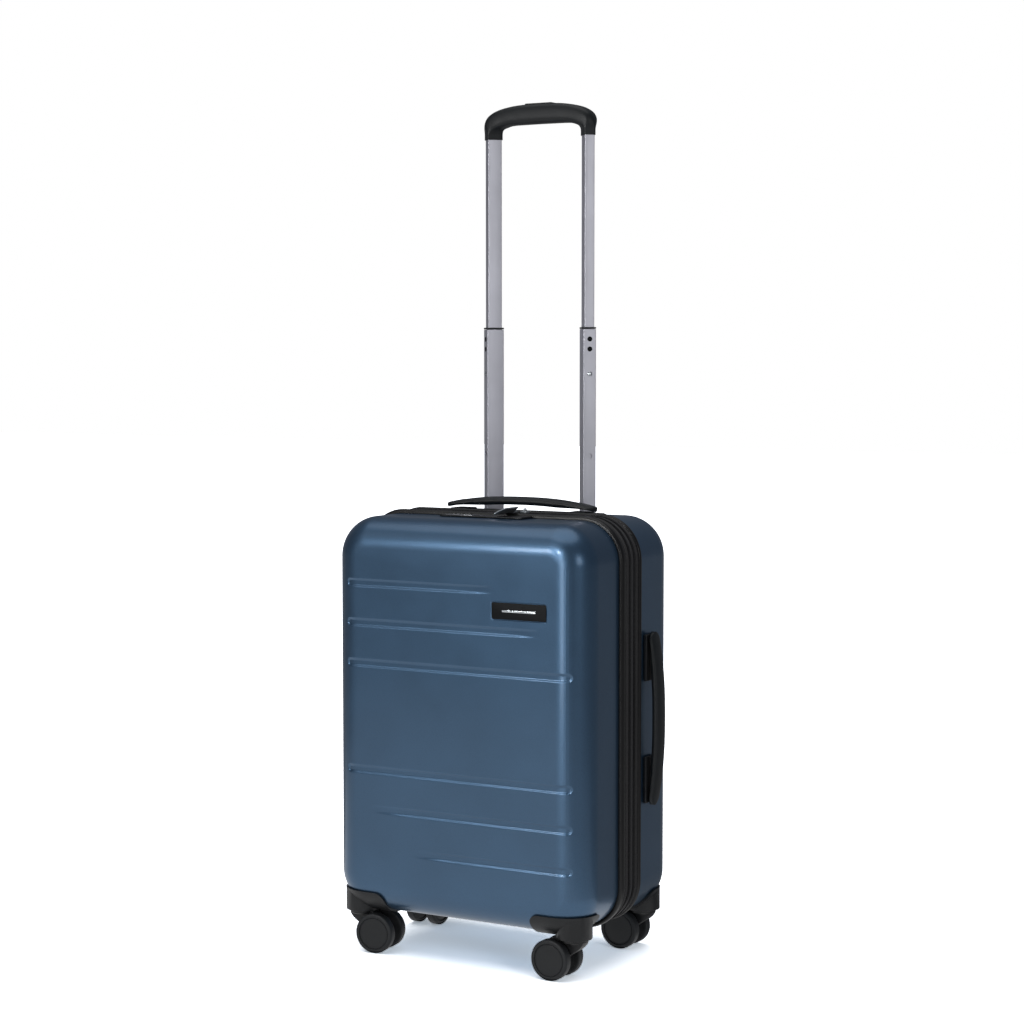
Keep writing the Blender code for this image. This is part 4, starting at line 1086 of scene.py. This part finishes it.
# %% [markdown]
# A dial is a small wheel with ten flats, one number on each.  The wheel is
# turned, and each number is a text outline laid on the rim: it is made a mesh
# first, then moved to its flat, so that the finished piece needs no object
# turn of its own.


# %% Dials with their numbers
def dial_wheel(name, x, width):
    steps = 40
    loops = []
    for along, shrink in ((-width / 2, 0.0006), (-width / 2 + 0.0005, 0.0), (width / 2 - 0.0005, 0.0),
                          (width / 2, 0.0006)):
        loop = []
        for k in range(steps):
            turn = math.tau * k / steps
            notch = 0.00025 if k % 4 == 0 else 0.0
            radius = DIAL_R - shrink - notch
            loop.append((x + along, DIAL_Y + radius * math.cos(turn), DIAL_Z + radius * math.sin(turn)))
        loops.append(loop)
    return loft(name, loops, smooth=20.0)


def dial_numbers(name, x):
    bm = bmesh.new()
    for digit in range(10):
        text = bpy.data.curves.new("digit", "FONT")
        text.body = str(digit)
        text.size = 0.0030
        text.align_x = "CENTER"
        text.align_y = "CENTER"
        text.extrude = 0.00006
        text.resolution_u = 2
        holder = bpy.data.objects.new("digit", text)
        bpy.context.scene.collection.objects.link(holder)
        bpy.context.view_layer.update()
        mesh = bpy.data.meshes.new_from_object(holder.evaluated_get(bpy.context.evaluated_depsgraph_get()))
        bpy.data.objects.remove(holder, do_unlink=True)
        turn = Matrix.Rotation(math.tau * (digit + 0.5) / 10, 4, "X")
        outwards = Matrix.Translation((0, 0, DIAL_R - 0.00002))
        mesh.transform(Matrix.Translation((x, DIAL_Y, DIAL_Z)) @ turn @ outwards)
        bm.from_mesh(mesh)
        bpy.data.meshes.remove(mesh)
    return keep(name, bm, None, flip=False)


white_paint = moulded("number_white", (0.62, 0.63, 0.62), 0.5, 0.0005, 0.00001)
for number, (low, high) in enumerate(DIAL_BOXES, 1):
    middle = (low[0] + high[0]) / 2
    give(dial_wheel("dial_wheel_%d" % number, middle, high[0] - low[0]), fork_plastic,
         "lock_dial_%d" % number, ["lock_dial_%d" % number])
    give(dial_numbers("dial_numbers_%d" % number, middle), white_paint, "lock_dial_%d" % number)
print("three dials numbered")

# %% [markdown]
# A slider is a small metal body with rounded shoulders and a standing loop.
# The pull is one stamped plate, broad at its free end, that hangs in both
# loops.  It lies back over the lock's dials with a slight fall.

# %% Sliders and the pull
for word in ("left", "right"):
    low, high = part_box("zip_slider_" + word)
    body_top = low[2] + 0.0034
    slider = solid_box("slider_cast_" + word, (low[0], high[0]), (low[1], high[1]), (low[2], body_top),
                       0.0012, 4)
    centre = ((low[0] + high[0]) / 2, (low[1] + high[1]) / 2)
    loop_r = (high[2] - body_top) * 0.86
    ring_points = []
    for k in range(25):
        turn = math.radians(-15 + 210 * k / 24)
        ring_points.append(Vector((centre[0], centre[1] + loop_r * 0.9 * math.cos(turn),
                                   body_top - 0.0003 + loop_r * math.sin(turn))))
    loops = []
    for k, point in enumerate(ring_points):
        ahead = ring_points[min(k + 1, 24)] - ring_points[max(k - 1, 0)]
        out = Vector((0, -ahead.z, ahead.y)).normalized()
        loops.append([point + Vector((1, 0, 0)) * (u * 0.0011) + out * (v * 0.0006)
                      for u, v in round_profile(2.0, 2.0, 0.9, 2)])
    give(slider, gunmetal, "zip_sliders", ["zip_slider_" + word])
    give(loft("slider_loop_" + word, loops, smooth=60.0), gunmetal, "zip_sliders")

TAB_LO, TAB_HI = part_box("pull_tab")
print("sliders cast; pull spans", [round(v * 1e3, 1) for v in (TAB_HI - TAB_LO)])


def pull_plate():
    """Outline of the pull, thickened along its own slope."""
    root = Vector((TAB_HI[0] - 0.0010, (TAB_LO[1] + TAB_HI[1]) / 2, TAB_HI[2] - 0.0010))
    tip = Vector((TAB_LO[0] + 0.0010, root.y, TAB_LO[2] + 0.0010))
    along = (tip - root).normalized()
    normal = Vector((0, 1, 0)).cross(along)
    if normal.z < 0:
        normal = -normal
    length = (tip - root).length
    half_w = (TAB_HI[1] - TAB_LO[1]) / 2
    stations = ((0.00, 0.52), (0.03, 0.66), (0.08, 0.72), (0.30, 0.78), (0.45, 0.84), (0.60, 0.92),
                (0.72, 0.98), (0.84, 1.0), (0.91, 0.94), (0.96, 0.80), (1.0, 0.55))
    loops = []
    for along_share, width_share in stations:
        centre = root + along * (length * along_share)
        dish = 0.0007 * math.sin(math.pi * along_share)
        loop = []
        for u, v in round_profile(2 * half_w * width_share, 0.0016, 0.0007, 3):
            loop.append(centre + Vector((0, 1, 0)) * u + normal * (v + dish - 0.0004 * (u / half_w) ** 2))
        loops.append(loop)
    return loft("pull_plate", loops, smooth=45.0)


give(pull_plate(), gunmetal, "pull_tab", ["pull_tab"])

# %% [markdown]
# ## Carry handles
# Both carry handles are the same moulding: a soft strap, thick and crowned in
# the middle, thin at its tips, where a foot on the shell holds it.  The strap
# is a loft along an arch.  Its section keeps a crown on top and a flatter
# palm side, and a raised panel runs along the middle.


# %% Strap and feet
def along_x(along, across, up, low, high):
    return Vector(((low[0] + high[0]) / 2 + along, (low[1] + high[1]) / 2 + across, low[2] + up))


def along_z(along, across, up, low, high):
    return Vector((low[0] + up, (low[1] + high[1]) / 2 + across, (low[2] + high[2]) / 2 + along))


def strap(name, node, way):
    """Handle arched over local length; way maps (along, across, up) to space."""
    low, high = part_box(node)
    spans = [high[axis] - low[axis] for axis in range(3)]
    half_l = max(spans) / 2
    half_w = spans[1] / 2
    crown_up = spans[2] if way is along_x else spans[0]
    loops = []
    count = 65
    for k in range(count):
        s = math.sin(math.pi / 2 * (-1 + 2 * k / (count - 1)))
        reach = abs(s)
        thick = 0.0060 + 0.0048 * smooth_step((1 - reach) / 0.55)
        top = 0.0096 + (crown_up - 0.0098) * (1 - reach ** 2.5)
        round_in = math.sqrt(max(0.0, 1 - ((reach - 0.90) / 0.10) ** 2)) if reach > 0.90 else 1.0
        width = max(0.06, round_in) * half_w
        panel = 0.0004 * smooth_step((0.80 - reach) / 0.05)
        loop = []
        for j in range(40):
            turn = math.tau * j / 40
            c, sn = math.cos(turn), math.sin(turn)
            v = math.copysign(abs(c) ** (2 / 3.6), c) * width
            w = math.copysign(abs(sn) ** (2 / 2.8), sn) * thick / 2
            crown = 0.0012 * (1 - (v / half_w) ** 2) if sn > 0 else 0.0
            inlay = panel if sn > 0 and abs(v) < half_w * 0.66 else 0.0
            up = top - thick / 2 + w - (0.0012 if sn > 0 else 0.0) + crown - inlay
            loop.append(way(s * half_l * 0.999, v, up, low, high))
        loops.append(loop)
    return loft(name, loops, smooth=50.0)


give(strap("top_strap", "top_handle", along_x), soft_grip, "top_handle", ["top_handle"])
give(strap("side_strap", "side_handle", along_z), soft_grip, "side_handle", ["side_handle"])


def middle(node):
    low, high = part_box(node)
    return (Vector(low) + Vector(high)) / 2


FOOT_ROUND = 0.0016
FOOT_MORE = 0.0095
SIDE_MID_Z = middle("side_handle").z
for node in ("top_handle_foot_a", "top_handle_foot_b", "side_handle_foot_a", "side_handle_foot_b"):
    low, high = (list(corner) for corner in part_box(node))
    if node.startswith("side"):
        inner = low if middle(node).z > SIDE_MID_Z else high
        inner[2] += math.copysign(FOOT_MORE, SIDE_MID_Z - middle(node).z)
    pad = solid_box(node + "_moulded", *zip(low, high), FOOT_ROUND, 4)
    give(pad, black_trim, "case", [node])
print("two handles on four feet")

# %% [markdown]
# ## Trolley bezel and base
# A black bezel trims the two holes in the top of the rear shell, and a
# housing closes the tubes at the bottom.

# %% Bezel and base
def grown_form(name, corner, grow, reach):
    """The case's own corner form, larger all round, open side moved by reach."""
    front = corner.startswith("front")
    face = FRONT_Y - grow if front else BACK_Y + grow
    opened = (SHELL_HI[1] + reach) if front else (REAR_LO[1] - reach)
    return keep(name, tray_form(face, opened, grow, 26, 20), 35.0)


BEZEL_LO, BEZEL_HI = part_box("trolley_bezel")
BEZEL_RISE = BEZEL_HI[2] - CASE_TOP
bezel = solid_box("trolley_bezel_moulded", (BEZEL_LO[0], BEZEL_HI[0]), (BEZEL_LO[1], BEZEL_HI[1]),
                  (BEZEL_LO[2], BEZEL_HI[2] + 0.004), 0.0012, 3)
carve(bezel, grown_form("form", "rear_left", BEZEL_RISE, 0.0), "INTERSECT")
carve(bezel, grown_form("form", "rear_left", 0.0003, 0.004))
for word in ("left", "right"):
    carve(bezel, prism("tube_cutter", tube_loop(TUBE_SECTIONS["middle"], word, 0.0008), 0.50, 0.60))
print("bezel", [round(v * 1e3, 1) for v in (BEZEL_HI - BEZEL_LO)])
give(bezel, black_trim, "case", ["trolley_bezel"])

# %% [markdown]
# ## Casters
# Every caster is a cap that hugs the corner of the shell, a fork that turns
# under it, and two wheels on one steel axle.  The cap is a slightly larger
# copy of the case's own corner form, kept only around the neck.  It is made by
# Booleans, as the tool that moulds it was cut: the grown form, less the form
# itself, within a rounded block.


# %% Caster caps
CORNERS = ("front_left", "front_right", "rear_left", "rear_right")
CAP_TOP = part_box("caster_housing_front_left")[1][2] - 0.0020
WHEEL_R = middle("wheel_front_left_a").z
NECK_R = 0.0215
NECK_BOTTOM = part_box("caster_housing_front_left")[0][2]
PIVOTS = {joint["name"][7:]: Vector(joint["pos_m"]) for joint in frame["joints"]
          if joint["name"].startswith("swivel_")}


CAP_THICK = 0.0026
CAP_GAP = 0.0002
for corner in CORNERS:
    pivot = PIVOTS[corner]
    low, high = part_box("caster_housing_" + corner)
    front = corner.startswith("front")
    left = corner.endswith("left")
    cap = grown_form("cap_" + corner, corner, CAP_THICK - 0.0001, 0.0)
    block = solid_box("block", (low[0] - 0.03, high[0]) if left else (low[0], high[0] + 0.03),
                      (low[1] - 0.03, high[1]) if front else (low[1], high[1] + 0.03),
                      (low[2] - 0.03, CAP_TOP), 0.0125, 10)
    carve(cap, block, "INTERSECT")
    neck_spot = Matrix.Translation((pivot.x, pivot.y, 0.0))
    neck = turned("neck", ((0, 0.079), (NECK_R, 0.079), (NECK_R, NECK_BOTTOM + 0.0014),
                           (NECK_R - 0.0004, NECK_BOTTOM + 0.0005), (NECK_R - 0.0014, NECK_BOTTOM + 0.0001),
                           (0, NECK_BOTTOM + 0.0001)), neck_spot, 56)
    carve(cap, neck, "UNION")
    carve(cap, grown_form("form", corner, CAP_GAP, 0.004))
    carve(cap, turned("stem_hole", ((0, 0.04), (0.0045, 0.04), (0.0045, 0.0576), (0, 0.0576)), neck_spot))
    give(cap, black_trim, "lid" if front else "case", ["caster_housing_" + corner])
print("four caps, top at %.1f mm" % (CAP_TOP * 1e3))

# %% [markdown]
# The fork is an arm with a round boss at the axle and a flat turntable at its
# top.  Its side view is one outline, thickened along the axle and rounded at
# its edges.  It is built looking along one way, then turned to where its own
# wheels stand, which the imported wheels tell.

# %% Forks and axles
WEB = 0.0080
HUB_R = 0.0089
TRAIL = 0.0240


def fork_side():
    top = NECK_BOTTOM - 0.0005
    loop = [(-0.0150, top), (-0.0150, 0.0468), (-0.0138, 0.0440), (-0.0110, 0.0405), (-0.0066, 0.0368),
            (-0.0010, 0.0330), (0.0056, 0.0284), (0.0106, 0.0236)]
    for k in range(15):
        turn = math.radians(-135 + 180 * k / 14)
        loop.append((TRAIL + HUB_R * math.cos(turn), WHEEL_R + HUB_R * math.sin(turn)))
    loop += [(0.0292, 0.0352), (0.0268, 0.0394), (0.0238, 0.0430), (0.0202, 0.0462), (0.0178, 0.0482),
             (0.0169, top)]
    return loop


def corner_turn(corner):
    """Matrix from the fork's own frame to its place: trail along +X before."""
    hub = (middle("wheel_%s_a" % corner) + middle("wheel_%s_b" % corner)) / 2
    trail = hub - PIVOTS[corner]
    angle = math.atan2(trail.y, trail.x)
    place = Matrix.Translation((PIVOTS[corner].x, PIVOTS[corner].y, 0.0))
    return place @ Matrix.Rotation(angle, 4, "Z")


for corner in CORNERS:
    matrix = corner_turn(corner)
    bm = bmesh.new()
    loops = [[bm.verts.new((u, y, v)) for u, v in fork_side()] for y in (-WEB, WEB)]
    count = len(loops[0])
    bm.faces.new(loops[0])
    bm.faces.new(loops[1][::-1])
    for k in range(count):
        bm.faces.new((loops[0][k], loops[0][(k + 1) % count], loops[1][(k + 1) % count], loops[1][k]))
    bmesh.ops.recalc_face_normals(bm, faces=bm.faces)
    rims = [e for e in bm.edges if abs(e.verts[0].co.y - e.verts[1].co.y) < 1e-7]
    bmesh.ops.bevel(bm, geom=rims, offset=0.0012, segments=3, profile=0.5, affect="EDGES")
    bm.transform(matrix)
    fork = keep("fork_arm_" + corner, bm)
    stem_spot = Matrix.Translation((PIVOTS[corner].x, PIVOTS[corner].y, 0.0))
    table = turned("turntable", ((0, 0.0462), (0.0150, 0.0462), (0.0166, 0.0474), (0.0166, 0.0500),
                                 (0, 0.0500)), stem_spot, 40)
    carve(fork, table, "UNION")
    pin = turned("stem", ((0, 0.049), (0.0039, 0.049), (0.0039, 0.0568), (0, 0.0568)), stem_spot, 20)
    carve(fork, pin, "UNION")
    axle_way = matrix @ Matrix.Translation((TRAIL, 0, WHEEL_R)) @ Matrix.Rotation(math.radians(-90), 4, "X")
    carve(fork, turned("bore", ((0, -0.02), (0.0034, -0.02), (0.0034, 0.02), (0, 0.02)), axle_way, 24))
    give(fork, fork_plastic, "fork_" + corner, ["caster_fork_" + corner])
    axle = turned("axle_pin_" + corner, ((0, -0.0168), (0.0026, -0.0168), (0.0030, -0.0164), (0.0030, 0.0164),
                                         (0.0026, 0.0168), (0, 0.0168)), axle_way, 24)
    give(axle, bright_steel, "fork_" + corner, ["axle_" + corner])
print("four forks on their axles")

# %% [markdown]
# A wheel is turned from its half section: a smooth disc, a shallow groove, a
# raised ring, then the tyre with its rounded shoulders.  Inside, the hub has a
# blind bore for the axle.

# %% Wheels
WHEEL_GAP = 0.0190
WHEEL_W = 0.0118


def wheel_profile():
    near = WHEEL_GAP / 2 + 0.0001
    far = near + WHEEL_W - 0.0002
    tyre = WHEEL_R - 0.0001
    points = [(0.0, far - 0.0016), (0.0140, far - 0.0013), (0.0188, far - 0.0011), (0.0192, far - 0.0016),
              (0.0197, far - 0.0016), (0.0200, far - 0.0004), (0.0203, far), (0.0218, far)]
    for k in range(9):
        turn = math.radians(90 - 90 * k / 8)
        points.append((tyre - 0.0028 + 0.0028 * math.cos(turn), far - 0.0026 + 0.0026 * math.sin(turn)))
    for k in range(7):
        turn = math.radians(-90 * k / 6)
        points.append((tyre - 0.0016 + 0.0016 * math.cos(turn), near + 0.0016 + 0.0016 * math.sin(turn)))
    points += [(0.0212, near), (0.0206, near + 0.0014), (0.0090, near + 0.0016), (0.0084, near),
               (0.0034, near), (0.0034, near + 0.0078), (0.0, near + 0.0078)]
    return points


def turned_wheel(name, matrix, steps=72):
    obj = turned(name, wheel_profile(), matrix, steps)
    return obj


for corner in CORNERS:
    for word, way in (("a", -1), ("b", 1)):
        node = "wheel_%s_%s" % (corner, word)
        matrix = corner_turn(corner) @ Matrix.Translation((TRAIL, 0, WHEEL_R))
        matrix = matrix @ Matrix.Rotation(math.radians(-90 * way), 4, "X")
        wheel = turned_wheel("wheel_turned_%s_%s" % (corner, word), matrix)
        give(wheel, wheel_rubber, node, [node])
        disc_far = WHEEL_GAP / 2 + WHEEL_W - 0.0012
        disc = turned("wheel_cap_%s_%s" % (corner, word),
                      ((0, disc_far - 0.0012), (0.0180, disc_far - 0.0012), (0.0183, disc_far - 0.0003),
                       (0.0178, disc_far + 0.0001), (0.0090, disc_far + 0.0004), (0, disc_far + 0.0006)),
                      matrix, 64)
        give(disc, wheel_disc, node)
print("eight wheels turned")

# %% [markdown]
# ## Inside
# The lid and the rear half carry a cloth lining, and a cloth gusset sits
# behind the band, where the case grows.  The imported pieces already have their
# shapes, so they only take their cloth.  The hinge strip is a strip of the
# same cloth as the band.

# %% Cloth on the imported pieces
def dress(node, finish):
    mesh = frame["nodes"][node].data
    mesh.materials.clear()
    mesh.materials.append(finish)


for node in ("front_lining", "rear_lining", "tube_cover_panel", "expansion_gusset"):
    dress(node, lining_cloth)
dress("hinge_strip", band_cloth)
for node in ("trolley_base", "lock_pin_left", "lock_pin_right"):
    dress(node, black_trim if node == "trolley_base" else bright_steel)

# %% [markdown]
# ## Floor and light
# A wide pale floor runs out of sight.  It looks bright to the camera only, so
# that it throws no light back on the case.  One wide sun overhead and a strip
# on the right light the case; the other soft boxes show in reflections only,
# where they draw the bright lines along the rounded edges.

# %% Floor
FLOOR_SEEN = 3.4
FLOOR_GLOW = 0.28
FLOOR_SIZE = 14.0
floor_bm = bmesh.new()
bmesh.ops.create_grid(floor_bm, x_segments=2, y_segments=2, size=FLOOR_SIZE)
floor = keep("studio_floor", floor_bm, None)
paper, tree, shader = new_finish("floor_paper", Specular_IOR_Level=0.1)
paper_grain = grain(tree, 0.6, 3.0)
tree.links.new(ramp(tree, paper_grain.outputs["Fac"], ((0.3, (0.42, 0.42, 0.42)), (0.7, (0.46, 0.46, 0.46)))),
               shader.inputs["Base Color"])
tree.links.new(spread(tree, paper_grain.outputs["Fac"], 0.7, 0.8), shader.inputs["Roughness"])
lit = add(tree, "ShaderNodeBsdfDiffuse")
lit.inputs["Color"].default_value = (FLOOR_SEEN, FLOOR_SEEN, FLOOR_SEEN, 1.0)
glow = add(tree, "ShaderNodeEmission")
glow.inputs["Color"].default_value = (0.88, 1.0, 1.10, 1.0)
glow.inputs["Strength"].default_value = FLOOR_GLOW
seen = tree.nodes.new("ShaderNodeAddShader")
tree.links.new(lit.outputs["BSDF"], seen.inputs[0])
tree.links.new(glow.outputs["Emission"], seen.inputs[1])
paths = tree.nodes.new("ShaderNodeLightPath")
pick = tree.nodes.new("ShaderNodeMixShader")
tree.links.new(paths.outputs["Is Camera Ray"], pick.inputs["Fac"])
tree.links.new(shader.outputs["BSDF"], pick.inputs[1])
tree.links.new(seen.outputs["Shader"], pick.inputs[2])
tree.links.new(pick.outputs["Shader"], tree.nodes["Material Output"].inputs["Surface"])
floor.data.materials.append(paper)


# %% Lamps
def soft_box(name, place, aim, width, height, power, spread_light=False):
    """Lamp; without spread_light it shows in reflections only."""
    lamp = bpy.data.lights.new(name, "AREA")
    lamp.shape = "RECTANGLE"
    lamp.size = width
    lamp.size_y = height
    lamp.energy = power
    obj = bpy.data.objects.new(name, lamp)
    obj.location = place
    obj.rotation_euler = (Vector(aim) - Vector(place)).to_track_quat("-Z", "Y").to_euler()
    obj.visible_camera = False
    obj.visible_diffuse = spread_light
    bpy.context.scene.collection.objects.link(obj)
    return obj


def around(azimuth, distance, height):
    """Place at an azimuth in degrees, 0 in front of the case, + to the right."""
    turn = math.radians(azimuth)
    return (distance * math.sin(turn), -distance * math.cos(turn), height)


CENTRE = (0.0, 0.0, 0.30)
KEY_AIM = (0.15, -0.1, 0.5)
SUN_POWER = 1.15
WORLD_DIM = 0.15
sky = bpy.data.lights.new("overhead_sky", "SUN")
sky.energy = SUN_POWER
sky.angle = math.radians(64)
sky_obj = bpy.data.objects.new("overhead_sky", sky)
sky_obj.rotation_euler = (math.radians(3), math.radians(-4), 0)
bpy.context.scene.collection.objects.link(sky_obj)
soft_box("right_strip", around(60, 3.0, 1.15), (0.0, 0.0, 0.6), 0.9, 1.0, 9, spread_light=True)
soft_box("left_card", around(-118, 3.0, 0.9), CENTRE, 1.5, 1.5, 0.3)
soft_box("front_fill", around(-28, 3.6, 1.9), CENTRE, 3.0, 3.4, 10.5)
soft_box("floor_card", (-0.45, -0.99, 0.003), (-0.45, -0.99, 1.0), 1.9, 2.2, 9.5)
soft_box("right_floor_card", (0.95, -0.80, 0.003), (0.95, -0.80, 1.0), 0.9, 1.8, 1.6)
soft_box("band_strip", around(2, 1.6, 0.45), (0.15, -0.1, 0.4), 0.40, 0.7, 4.2)
soft_box("top_card", (-0.9, -1.6, 2.6), CENTRE, 2.6, 2.0, 5)
soft_box("key_left", (-0.59, -1.475, 0.95), KEY_AIM, 0.3, 0.3, 5.5)
soft_box("key_right", (-0.03, -1.6, 1.11), KEY_AIM, 0.2, 0.2, 6)

world = bpy.data.worlds.new("studio")
bpy.context.scene.world = world
world.use_nodes = True
tree = world.node_tree
tree.nodes.clear()
output = tree.nodes.new("ShaderNodeOutputWorld")
paths = tree.nodes.new("ShaderNodeLightPath")
dim = add(tree, "ShaderNodeBackground")
dim.inputs["Color"].default_value = (0.86, 0.90, 1.0, 1.0)
dim.inputs["Strength"].default_value = WORLD_DIM
white = add(tree, "ShaderNodeBackground")
white.inputs["Color"].default_value = (1.0, 1.0, 1.0, 1.0)
white.inputs["Strength"].default_value = 1.0
choose = tree.nodes.new("ShaderNodeMixShader")
tree.links.new(paths.outputs["Is Camera Ray"], choose.inputs["Fac"])
tree.links.new(dim.outputs["Background"], choose.inputs[1])
tree.links.new(white.outputs["Background"], choose.inputs[2])
tree.links.new(choose.outputs["Shader"], output.inputs["Surface"])

# %% [markdown]
# ## Camera
# The view is a quarter view from the front right, a little above the middle
# of the case, through a short telephoto lens.

# %% Camera
LENS_MM = 82.32
CAMERA_PLACE = (1.4684, -2.4971, 0.7459)
CAMERA_DOWN, CAMERA_ROLL, CAMERA_TURN = 3.88, 0.02, 30.37
camera_data = bpy.data.cameras.new("camera")
camera_data.sensor_width = 36.0
camera_data.lens = LENS_MM
camera = bpy.data.objects.new("camera", camera_data)
camera.location = CAMERA_PLACE
camera.rotation_euler = (math.radians(90.0 - CAMERA_DOWN), math.radians(CAMERA_ROLL),
                         math.radians(CAMERA_TURN))
bpy.context.scene.collection.objects.link(camera)
bpy.context.scene.camera = camera
bpy.context.scene.view_settings.view_transform = "Standard"

# %% Piece count
print("pieces:", len(PIECES))
